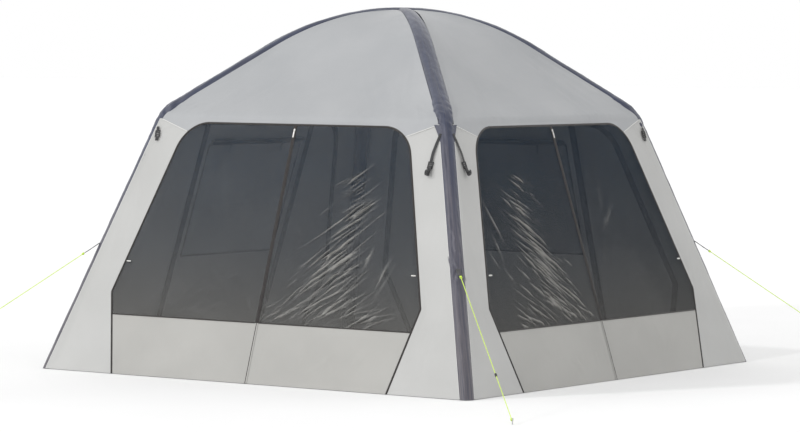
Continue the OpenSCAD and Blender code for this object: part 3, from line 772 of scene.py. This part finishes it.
def header_low(x):
    """Height up the slope of the lower edge of the roof panel, under the door's arc and along the welts."""
    arc = outline(-SEAM, HEM, 0.010)
    arc = arc[arc[:, 1] > ARC_S]
    tip = np.array([ARC_X + (DOOR_CORNER_R + SEAM) * math.cos(WELT_ANGLE),
                    ARC_S + (DOOR_CORNER_R + SEAM) * math.sin(WELT_ANGLE)])
    arc = arc[arc[:, 0] < tip[0]][::-1]
    xs = np.concatenate([[0], arc[:, 0], [tip[0], HALF - WELT_S * SIN_L - FLANGE_OUT, HALF]])
    ss = np.concatenate([[DOOR_TOP_S + SEAM], arc[:, 1], [tip[1], WELT_S, WELT_S]])
    return np.interp(np.abs(x), xs, ss)


def roof_sheet(k):
    """One curved sheet from the door's top edge over the shoulder to the crown."""
    cols, header_rows = 121, 7
    f = np.linspace(-1, 1, cols)
    f = f * (1.15 - 0.15 * f * f)
    q_at = lambda s: HALF - s * SIN_L
    s_low = np.full(cols, DOOR_TOP_S)
    for _ in range(4):
        s_low = header_low(f * (q_at(s_low) - WEDGE))
    rows = []
    for i in range(header_rows):
        s = s_low + (SHOULDER_S - SHOULDER_REACH - s_low) * i / header_rows
        rows.append((f * (q_at(s) - WEDGE), q_at(s), s * COS_L, s))
    path = roof_profile()
    run = SHOULDER_S - SHOULDER_REACH
    for i, (q, z) in enumerate(path):
        if i:
            run += math.hypot(q - path[i - 1][0], z - path[i - 1][1])
        rows.append((f * (q - WEDGE), np.full(cols, q), np.full(cols, z), np.full(cols, run)))
    x, q, z, s = (np.array([np.broadcast_to(r[i], cols) for r in rows]) for i in range(4))
    points = together(x, -q, z)
    normal = grid_normals(points)
    mask = edge_mask(len(rows), cols, 7)
    span = np.clip((s - SHOULDER_S) / (run - SHOULDER_S), 0, 1)
    wide = 1 - np.abs(f)[None] ** 2.5
    sag = -0.016 * np.sin(span * math.pi) ** 0.8 * wide
    seed = 101 + k
    half_width = np.maximum(q - WEDGE, 0.02)
    from_beam = half_width - np.abs(x)
    pucker = 0.0035 * noise(s / 0.035, from_beam / 0.12, seed) * np.exp(-from_beam / 0.05)
    swell = 0.006 * noise(x / 0.35, s / 0.30, seed + 1)
    pull = streaks(np.abs(x), s, seed + 2, [(0.86, 1.68, 0.04, 0.05, -28, 12, 0.10, 0.014, 9),
                                            (0.55, 1.85, 0.15, 0.10, -60, 12, 0.20, 0.030, 6),
                                            (0.40, 1.62, 0.25, 0.02, 85, 10, 0.03, 0.012, 14)], 0.0028)
    lift = EDGE_LIFT * np.exp(-from_beam / 0.06) * np.clip(span * 7, 0, 1) * np.clip(q / 0.25, 0, 1)
    points = points + normal * ((pucker + swell + pull) * mask + sag * np.clip(span * 8, 0, 1) + lift)[..., None]
    cells = np.linalg.norm(np.cross(np.gradient(points, axis=1), np.gradient(points, axis=0)), axis=2)
    return shell(turned(points, k * math.pi / 2), together(x, s), CLOTH), float(np.sum(cells[1:-1, 1:-1]))


for k in range(4):
    part, area = roof_sheet(k)
    roof = stand(f"roof_cloth_{WALL_NAMES[k]}", [part], f"roof_panel_{WALL_NAMES[k]}", ROOF)

# ---------- solid walls
for k in (REAR, LEFT):
    wall = WALL_NAMES[k]
    parts, area = [], 0.0
    for sign in (1, -1):
        outer = outline(EDGE_ZIP_W + SEAM, HEM, WALL_STEP)
        edges = sheet_edges(held_to(outer, PANEL_ZIP_X + PANEL_ZIP_W / 2 + SEAM), outer, sign)
        seed = 131 + 3 * k + sign

        def side_relief(x, s, seed=seed, sign=sign):
            n = 0.0045 * noise(x / 0.20, s / 0.35, seed)
            return n + streaks(x * sign, s, seed, [(0.8, 0.8, 0.12, 0.35, 70, 15, 0.15, 0.022, 9)], 0.0025)

        parts.append(wall_sheet(k, *edges, WALL_STEP, CLOTH, side_relief))
        area += area_of(edges)
    side_cloth = stand(f"{wall}_side_cloth", parts, f"{wall}_side_panels", WALL)

    panel_x = PANEL_ZIP_X - PANEL_ZIP_W / 2 - MOVE_GAP
    panel_top = DOOR_TOP_S - EDGE_ZIP_W - MOVE_GAP

    def panel_relief(x, s, seed=151 + k):
        n = 0.0045 * noise(x / 0.30, s / 0.35, seed)
        return n + streaks(x, s, seed, [(0.0, 0.35, 0.3, 0.15, 60, 40, 0.12, 0.022, 9)], 0.0022)

    def block(x0, x1, s0, s1, step=WALL_STEP, thick=CLOTH, relief=panel_relief):
        """A rectangle of cloth."""
        rows = spaced([(x0, s0), (x0, s1)], step)
        return wall_sheet(k, rows, held_to(rows, x1), step, thick, relief)

    around_window = [block(-panel_x, panel_x, HEM, WINDOW_LOW_S), block(-panel_x, panel_x, WINDOW_HIGH_S, panel_top),
                     *(block(*x, WINDOW_LOW_S, WINDOW_HIGH_S) for x in ((-panel_x, -WINDOW_X), (WINDOW_X, panel_x)))]
    panel = stand(f"{wall}_awning_cloth", around_window, f"{wall}_door_panel", WALL)

    glazing = block(-WINDOW_X, WINDOW_X, WINDOW_LOW_S, WINDOW_HIGH_S, 0.014, NET_CLOTH,
                    lambda x, s, seed=161 + k: 0.0035 * noise(x / 0.14, s / 0.25, seed))
    window = stand(f"{wall}_window_net", [glazing], f"{wall}_window", WINDOW_NET)

    # A binding tape round the window
    ring = [(-WINDOW_X, WINDOW_LOW_S), (WINDOW_X, WINDOW_LOW_S), (WINDOW_X, WINDOW_HIGH_S), (-WINDOW_X, WINDOW_HIGH_S)]
    bars = []
    for (xa, sa), (xb, sb) in zip(ring, ring[1:] + ring[:1]):
        flat = abs(xb - xa) > abs(sb - sa)
        size = (abs(xb - xa) + 0.014, 0.012, 0.004) if flat else (0.012, abs(sb - sa) + 0.014, 0.004)
        bars.append(rounded_box(size, ((xa + xb) / 2, (sa + sb) / 2, -0.001), wall_matrix(k), 0.35))
    extra(f"{wall}_window_binding", bars, f"{wall}_awning", TAPE)

    # The blind is one sheet wound round itself
    turns, inner_r, steps = 11.4, 0.0050, 22
    a = np.linspace(0, 2 * math.pi * turns, int(turns * steps))[:, None]
    grown = inner_r + (BLIND_R - 0.0004 - inner_r) * a / a[-1]
    across = np.linspace(-WINDOW_X + 0.006, WINDOW_X - 0.006, 60)[None]
    waves = 1 + 0.10 * noise(across / 0.09, 3.0 + 0 * a, 171 + k) * (grown / BLIND_R) ** 2
    pinch = 1 - 0.16 * sum(np.exp(-(((across - tx) / 0.022) ** 2)) for tx in (-TIE_X, TIE_X))
    r = grown * np.clip(waves, 0, 1.02) * pinch
    blind_s, blind_n = WINDOW_HIGH_S + BLIND_R + 0.006, -(0.0045 + BLIND_R)
    droop = 0.004 * noise(across / 0.16, 1.5 + 0 * a, 177 + k)
    roll = on_wall(k, across + 0 * a, blind_s + r * np.cos(a) + droop, blind_n + r * np.sin(a))
    wound = run_along(roll[:, 30])
    blind = stand(f"{wall}_blind_roll", [shell(roll, together(across, wound[:, None]), 0.0003)], f"{wall}_blind",
                  BLIND)

    ties = []
    for tx in (-TIE_X, TIE_X):
        a = np.linspace(0, 2 * math.pi, 33)[:-1][None]
        along = np.linspace(-TIE_W / 2, TIE_W / 2, 6)[:, None]
        band_r = BLIND_R * 0.86 + 0.0026
        ring = on_wall(k, tx + along + 0 * a, blind_s + band_r * np.sin(a), blind_n + band_r * np.cos(a) + 0 * along)
        ties.append(shell(ring, together(along, a * band_r), CLOTH, wrap=True))
        tail = spaced([(tx, blind_s - band_r), (tx + 0.006, blind_s - band_r - 0.055)], 0.008)
        rows = on_wall(k, tail[:, :1] + np.linspace(-0.008, 0.008, 4), tail[:, 1:],
                       blind_n + 0.006 * np.sin(np.linspace(0, 3, len(tail)))[:, None])
        ties.append(shell(rows[::-1], np.broadcast_to(tail[:, None], (*rows.shape[:2], 2)), CLOTH))
    stand(f"{wall}_tie_bands", ties, f"{wall}_blind_ties", WEBBING)


# ---------- zips
def zip_ribbon(k, left_edge, right_edge):
    """Tape between two edges with its coil standing up along the middle."""
    across = np.array([0, 0.16, 0.34, 0.42, 0.5, 0.58, 0.66, 0.84, 1.0])
    rise = np.array([0.0002, 0.0006, 0.0006, 0.0020, 0.0026, 0.0020, 0.0006, 0.0006, 0.0002])
    x, s = between(left_edge, right_edge, across)
    length = run_along((left_edge + right_edge) / 2)[:, None]
    teeth = 0.0004 * np.sin(length / 0.0065 * 2 * math.pi) * (rise > 0.001)
    return shell(on_wall(k, x, s, rise + teeth - 0.0002), together(length, across * 0.012), 0.0016)


def around(inside):
    """The whole door outline, from the ground at -x to the ground at +x."""
    half = outline(inside, HEM, 0.012)
    top = spaced([(-half[-1][0], half[-1][1]), tuple(half[-1])], 0.012)[1:-1]
    return np.concatenate([mirrored(half), top, half[::-1]])


def matched(inside, other):
    """The outline at another distance inside, with the same number of points."""
    points = around(inside)
    at, want = run_along(points), run_along(other)
    return placed_at(want / want[-1], at / at[-1], points)


FLAP_N = -0.0085                         # the inner flaps' place behind the wall
door_edge = around(EDGE_ZIP_W)
zips = [zip_ribbon(k, matched(0.0, door_edge), door_edge) for k in range(4)]
for k in (REAR, LEFT):
    for sign in (-1, 1):
        rows = spaced([(sign * PANEL_ZIP_X, HEM), (sign * PANEL_ZIP_X, DOOR_TOP_S - EDGE_ZIP_W - SEAM)], 0.006)
        zips.append(zip_ribbon(k, rows - [PANEL_ZIP_W / 2, 0], rows + [PANEL_ZIP_W / 2, 0]))
        zips.append(strip(k, rows - [0.023, 0], rows + [0.023, 0], 1, FLAP_N))
    inner = around(EDGE_ZIP_W + 0.022)
    zips.append(strip(k, inner, matched(-0.006, inner), 1, FLAP_N))
stand("zip_tapes", zips, "wall_zips", TAPE)
for k in (FRONT, RIGHT):
    rows = spaced([(0, HEM), (0, DOOR_TOP_S - EDGE_ZIP_W - MOVE_GAP)], 0.006)
    tape = zip_ribbon(k, rows - [CENTRE_ZIP_W / 2, 0], rows + [CENTRE_ZIP_W / 2, 0])
    stand(f"{WALL_NAMES[k]}_centre_tape", [tape], f"{WALL_NAMES[k]}_centre_zip", TAPE)


def slider(k, x, s, pull, node, material):
    """Slider body with a bridge, and its pull hanging below."""
    m = wall_matrix(k) @ Matrix.Translation((x, s, 0.0028))
    parts = [rounded_box((0.010, 0.014, 0.0034), (0, 0, 0.0012), m, 0.35),
             rounded_box((0.0040, 0.011, 0.0022), (0, 0.0005, 0.0036), m, 0.4),
             rounded_box((0.0052, 0.008, 0.0013), (0, -0.0095, 0.0030), m, 0.4)]
    tab = rounded_box((0.0092, pull - 0.006, 0.0022), (0, -0.010 - (pull - 0.006) / 2, 0.0026), m, 0.45, 3)
    stand(node.replace("slider", "runner_pull"), parts + [tab], node, material)


for k in (FRONT, RIGHT):
    slider(k, 0, CENTRE_SLIDER_S, 0.042, f"{WALL_NAMES[k]}_zip_slider", PALE)
for k in (REAR, LEFT):
    for sign, side in ((-1, "left"), (1, "right")):
        slider(k, sign * PANEL_ZIP_X, PANEL_SLIDER_S, 0.025, f"{WALL_NAMES[k]}_slider_{side}", BLACK)

# ---------- toggles
for k in (FRONT, RIGHT):
    for sign, side in ((-1, "left"), (1, "right")):
        edge = DOOR_KINK_X - (EDGE_ZIP_W + MOVE_GAP) * C2 + K2 * (TOGGLE_S - DOOR_KINK_S) - 0.004
        x = np.linspace(edge - TOGGLE_LEN, edge - 0.003, 15)
        waist = 0.0038 * (1 - 0.30 * np.exp(-(((x - edge + TOGGLE_LEN / 2) / 0.005) ** 2)))
        waist[[0, -1]] *= 0.55
        bar = tube(on_wall(k, sign * x, TOGGLE_S, 0.0055), waist[:, None], 12)
        u = np.linspace(-0.5 * math.pi, 1.5 * math.pi, 25)
        mid = sign * (edge - TOGGLE_LEN / 2)
        hoop = on_wall(k, mid + 0.0008 * np.sin(u), TOGGLE_S + 0.0050 * np.cos(u), 0.0050 + 0.0044 * np.sin(u))
        node = f"{WALL_NAMES[k]}_toggle_{side}"
        stand(node.replace("toggle", "toggle_bar"), [bar, tube(hoop, 0.0011, 6)], node, PALE)

# ---------- beam sleeves
THETA = math.atan(ROOT2 * TAN_L)
LEG_R = ROOT2 * (HALF - (SLEEVE_R - 0.0003) / COS_L)
ROOF_SWELL, TUBE_CLEAR_R = 0.007, 0.0435                     # extra half width over the roof; clear of the air tube
GUSSET_W, GUSSET_LEN, GUSSET_TOP_S = 0.032, 0.10, 1.572      # a gusset under the front shoulder
POCKET_S = 0.685                                             # top of the front pocket, up the beam
TOP_R, TOP_Z = ROOF_ARC_R * math.sin(ROOF_SLOPE), ARC_Z + ROOF_ARC_R * math.cos(ROOF_SLOPE)
GAP_R = LEG_R - TOP_R
RUN_V = (math.cos(ROOF_SLOPE) * TOP_Z - math.sin(ROOF_SLOPE) * GAP_R) / math.cos(ROOF_SLOPE + THETA)
TURN = math.pi / 2 - THETA - ROOF_SLOPE
LEG_LEN = RUN_V - SHOULDER_R * math.tan(TURN / 2)
BEND_R = LEG_R - LEG_LEN * math.sin(THETA) - SHOULDER_R * math.cos(THETA)
BEND_Z = LEG_LEN * math.cos(THETA) - SHOULDER_R * math.sin(THETA)


def beam_path(step):
    """Points (r, z) along the beam's centre line, from the ground to the crown."""
    leg = spaced([(LEG_R, 0), (LEG_R - LEG_LEN * math.sin(THETA), LEG_LEN * math.cos(THETA))], step)[:-1]
    a = np.arange(THETA, math.pi / 2 - ROOF_SLOPE, step / SHOULDER_R)
    bend = np.stack([BEND_R + SHOULDER_R * np.cos(a), BEND_Z + SHOULDER_R * np.sin(a)], -1)
    last = math.pi / 2 - ROOF_SLOPE
    end = (BEND_R + SHOULDER_R * math.cos(last), BEND_Z + SHOULDER_R * math.sin(last))
    slope = spaced([end, (TOP_R, TOP_Z)], step)[:-1]
    a = np.linspace(ROOF_SLOPE, 0, int(ROOF_SLOPE * ROOF_ARC_R / step))
    arc = np.stack([ROOF_ARC_R * np.sin(a), ARC_Z + ROOF_ARC_R * np.cos(a)], -1)
    return np.concatenate([leg, bend, slope, arc])


def sleeve(k):
    """The wrinkled tube of one beam, and the flanges that join its leg to the walls."""
    step, sides = 0.009, 56
    path = beam_path(step)
    out = unit(np.gradient(path, axis=0))[:, ::-1] * [1, -1]
    run = run_along(path)[:, None]
    a = (np.arange(sides) * 2 * math.pi / sides)[None]
    turn_at = LEG_LEN + SHOULDER_R * TURN / 2
    past = np.clip((run - turn_at + 0.06) / 0.12, 0, 1)
    to_end = run[-1] - run
    fat = past * np.clip(to_end / 0.5, 0, 1)
    seed = 201 + 10 * k
    bend = np.exp(-(((run - turn_at) / 0.13) ** 2))
    gather = 0.0060 * bend * noise(run / 0.020 + 1.5 * np.sin(a), a * 1.1 * np.ones_like(run), seed)
    long = 0.0016 * noise(np.sin(a) * 5.0 + run / 1.3, np.cos(a) * 5.0 + run / 0.9, seed + 1)
    fold = 0.0022 * noise(run / 0.075 + np.sin(a) * 2.6, np.cos(a + 0.6) * 2.4 + run / 0.35, seed + 2)
    fine = 0.0010 * noise(run / 0.018 + 4 * a / math.pi, np.sin(a) * 3 + 7, seed + 3)
    relief = gather + (0.55 + 0.25 * past) * fold + long + (0.4 + 0.3 * past) * fine
    bare = k == FRONT_RIGHT
    if bare:
        above = np.clip((run - POCKET_S) / 0.55, 0, 1)
        pull = np.where(run > POCKET_S, (1 - above) ** 1.2, 0)
        folds = np.sin(a * 9 + 22 * above + 3 * noise(run / 0.05, a, seed + 5))
        relief = relief + 0.0042 * pull * folds * np.cos(a * 0.5) ** 2
        lip = np.exp(-(((run - POCKET_S - 0.012) / 0.014) ** 2)) * np.clip(np.cos(a - 0.2), 0, 1) ** 2
        relief = relief + 0.006 * lip
    # Over the roof the sleeve is wider than it is high, and squarer
    high = SLEEVE_R + 0.0010
    wide, power = high + ROOF_SWELL * fat, 2 + 0.5 * fat
    round_r = (np.abs(np.cos(a) / high) ** power + np.abs(np.sin(a) / wide) ** power) ** (-1 / power)
    radius = np.maximum(round_r + relief * np.clip(to_end / 0.10, 0.15, 1), TUBE_CLEAR_R)
    foot = (0.0015 - radius * np.cos(a) * out[:1, 1]) / math.cos(THETA) * np.clip(1 - run / 0.10, 0, 1)
    r = path[:, :1] + radius * np.cos(a) * out[:, :1] - foot * math.sin(THETA)
    z = path[:, 1:] + radius * np.cos(a) * out[:, 1:] + foot * math.cos(THETA)
    t = radius * np.sin(a)
    r = np.maximum(r, np.abs(t) + 0.0004)
    parts = [shell(at_corner(k, r, t, z), together(a * SLEEVE_R, run), CLOTH, wrap=True)]
    top = GUSSET_TOP_S if bare else FLANGE_TOP_S
    s = spaced([(0, HEM), (0, top)], 0.012)[:, 1:]
    f = np.linspace(0, 1, 7)
    gusset = bare * np.clip((s - top + GUSSET_LEN) / GUSSET_LEN, 0, 1)
    x = HALF - s * SIN_L - ((FLANGE_OUT + GUSSET_W * gusset ** 1.3) * (1 - f) + FLANGE_IN * f)
    n = (-0.0006 if bare else -0.0034) + 0.0008 * noise(s / 0.05, f * 2, seed + 4) * f
    n = n + 0.0022 * np.clip(gusset * 3, 0, 1)
    parts.append(shell(on_wall(k, x, s, n), together(x, s), 0.0020))
    x, n = -x[:, ::-1], n[:, ::-1]
    parts.append(shell(on_wall(k + 1, x, s, n), together(x, s), 0.0020))
    return parts


for k in range(4):
    stand(f"sleeve_cloth_{CORNER_NAMES[k]}", sleeve(k), f"beam_sleeve_{CORNER_NAMES[k]}", SLEEVE)

# ---------- welts, hems and pipings
welts = []
for k in range(4):
    for sign in (-1, 1):
        tip = (ARC_X + DOOR_CORNER_R * math.cos(WELT_ANGLE), ARC_S + DOOR_CORNER_R * math.sin(WELT_ANGLE))
        far = (HALF - WELT_S * SIN_L - FLANGE_OUT + 0.004, WELT_S)
        line = spaced([tip, far], 0.012)
        welts.append(tube(on_wall(k, sign * line[:, 0], line[:, 1], 0.0004), 0.0019, 8))
        gap, n, top = TOUCH + 0.005, 0.0032, FLANGE_TOP_S
        if (k, sign) in OPEN_CORNER:
            gap, n, top = FLANGE_OUT, 0.0004, GUSSET_TOP_S - GUSSET_LEN
        side = spaced([(HALF - s * SIN_L - gap, s) for s in (HEM + 0.002, top)], 0.03)
        welts.append(tube(on_wall(k, sign * side[:, 0], side[:, 1], n), 0.0014, 8))
extra("welts", welts, "canopy", WELT)


# ---------- straps
def webbing_strip(k, sign, path, width, seed):
    """Flat webbing along points (x, s, n) of a wall, turned to lie flat on it."""
    side = np.gradient(path[:, :2], axis=0)[:, ::-1] * [1, -1]
    norm = np.linalg.norm(side, axis=1, keepdims=True)
    side = np.where(norm > 1e-6, side / np.maximum(norm, 1e-9), [1.0, 0.0])
    side *= np.sign(side[:, :1] + 1e-12)
    f = np.linspace(-0.5, 0.5, 7)
    x = path[:, :1] + f * width * side[:, :1]
    s = path[:, 1:2] + f * width * side[:, 1:]
    n = path[:, 2:] + 0.0006 * noise(f * 4, path[:, 1:2] / 0.02, seed)
    points, cloth = on_wall(k, sign * x, s, n), together(f * width, run_along(path)[:, None])
    across, along = (-1 if sign < 0 else 1), (-1 if path[-1, 1] < path[0, 1] else 1)     # normals outwards
    return shell(points[::along, ::across], cloth[::along, ::across], 0.0018)


straps = []
for k in range(4):
    for sign in (-1, 1):
        seed = 301 + 2 * k + sign
        ct, st = math.cos(STRAP_TILT), math.sin(STRAP_TILT)

        def place(u, v, n):
            """Strap coordinates, u across and v up from the strap's top end, to the wall's."""
            return together(STRAP_X + u * ct - v * st, STRAP_TOP_S + u * st + v * ct, n)

        let_out = (k, sign) in OPEN_CORNER
        strap_len, tail_len = LONG_STRAP if let_out else SHORT_STRAP
        v = np.linspace(0, -strap_len - 0.010, 34)
        wave = 0.0032 + 0.0040 * np.sin(v / 0.07 + seed) ** 2
        toward_beam = 0.014 * np.clip(1 + v / (0.7 * strap_len), 0, 1) * let_out
        strap = place(0.002 * np.sin(v / 0.05) + toward_beam, v, wave)
        straps.append(webbing_strip(k, sign, strap, STRAP_W * 0.8, seed))
        tail_top = -strap_len - LOCK_LEN + 0.006
        u = np.linspace(0, 1, 60)
        bunch = 1.0 if let_out else 0.0
        fold_v = tail_top - tail_len * (1 - 0.38 * bunch) * u
        fold_v = fold_v - 0.3 * bunch * tail_len * np.sin(u * 4 * math.pi) * (1 - 0.4 * u)
        fold_n = 0.0040 + 0.0040 * bunch + 0.17 * bunch * tail_len * u * (1.1 + np.sin(u * 3.1 * math.pi))
        fold_u = bunch * (0.06 * tail_len * np.sin(u * 7) + 0.010 * u)
        straps.append(webbing_strip(k, sign, place(fold_u, fold_v, fold_n), STRAP_W, seed + 50))
stand("shoulder_webbing", straps, "shoulder_straps", WEBBING)


# ---------- guy loops and runners
EYE_INSET, EYE_R = 0.011, 0.0062         # the grommet, from the loop's end


def drop_of(route):
    """Angle of a guy line below level."""
    return math.atan2(route[0][1] - route[3][1], route[3][0] - route[0][0])


def guy_loop(k, route, loop_len):
    """A folded webbing loop that reaches out of the sleeve, with a grommet."""
    (top_r, top_z), drop = route[0], drop_of(route)
    u = np.linspace(-loop_len, 0, 24)[:, None]
    f = np.linspace(-0.5, 0.5, 9)
    narrow = 1 - 0.25 * np.clip((u + 0.03) / 0.03, 0, 1)
    lift = 0.0015 * np.sin(u / 0.02) * np.cos(f * 3)
    r = top_r - 0.001 + u * math.cos(drop) + lift * math.sin(drop)
    z = top_z - u * math.sin(drop) + lift * math.cos(drop)
    points, cloth = at_corner(k, r, f * LOOP_W * narrow, z), together(f * LOOP_W, u)
    ring = np.linspace(0, 2 * math.pi, 25)
    eye_u = -EYE_INSET + EYE_R * np.cos(ring)
    eye = at_corner(k, top_r + eye_u * math.cos(drop), EYE_R * np.sin(ring), top_z - eye_u * math.sin(drop))
    return [shell(points[:, ::-1], cloth[:, ::-1], 0.0024), tube(eye, 0.0016, 8)]


loops = guy_loop(FRONT_RIGHT, FRONT_ROUTE, FRONT_LOOP_LEN)
for k in (REAR_RIGHT, REAR_LEFT, FRONT_LEFT):
    loops += guy_loop(k, SIDE_ROUTE, SIDE_LOOP_LEN)
stand("webbing_loops", loops, "guy_loops", WEBBING)

for k, route in GUY_ROUTES.items():
    r, z = (top * (1 - RUNNER_SHARE) + low * RUNNER_SHARE for top, low in zip(route[0], route[3]))
    m = corner_matrix(k) @ Matrix.Translation((r, 0, z)) @ Matrix.Rotation(drop_of(route), 4, "Y")
    parts = [rounded_box((0.006, 0.010, 0.012), (x, 0, 0), m, 0.30, 3) for x in (-0.010, 0, 0.010)]
    parts += [rounded_box((0.026, 0.0026, 0.0100), (0, y, 0), m, 0.35) for y in (-0.0040, 0.0040)]
    name = CORNER_NAMES[k]
    runner = stand(f"line_runner_{name}", parts, f"guy_runner_{name}", BLACK)
    line, knots, path, length = GUYS[k]

# ---------- CAD pieces that stay
KEPT = {"strap_buckles": BLACK, "apex_air_joint": AIR_FILM, "air_valve": WHITE, "valve_cap": BLACK, "guy_pegs": STEEL,
        **{f"air_tube_{name}": AIR_FILM for name in CORNER_NAMES}}
for node, material in KEPT.items():
    kept = frame["nodes"][node]
    kept.data.materials.clear()
    kept.data.materials.append(material)

# ---------- floor and light
bpy.ops.mesh.primitive_plane_add(size=240, location=(0, 0, -0.0005))
floor = bpy.context.object
floor.name = "floor"
pale_floor = Paint("floor_paint")
pale_floor.colour(pale_floor.ramp(pale_floor.noise(False, 0.5), [(0.3, grey(0.86)), (0.7, grey(0.89))]))
floor.data.materials.append(pale_floor.finish(0.9, 0.1))

world = bpy.data.worlds.new("world")
bpy.context.scene.world = world
world.use_nodes = True
world.node_tree.nodes["Background"].inputs["Color"].default_value = (1.0, 1.0, 1.0, 1)
world.node_tree.nodes["Background"].inputs["Strength"].default_value = 1.0

SUNS = (("low_sun", 0.75, 3, (0.04, 0.94, -0.31)), ("side_sun", 0.65, 4, (0.55, 0.58, -0.60)))
for name, energy, spread, direction in SUNS:
    light = bpy.data.objects.new(name, bpy.data.lights.new(name, "SUN"))
    light.data.energy = energy
    light.data.angle = math.radians(spread)
    light.rotation_euler = Vector(direction).to_track_quat("-Z", "Y").to_euler()
    bpy.context.scene.collection.objects.link(light)
bpy.context.scene.view_settings.view_transform = "Standard"
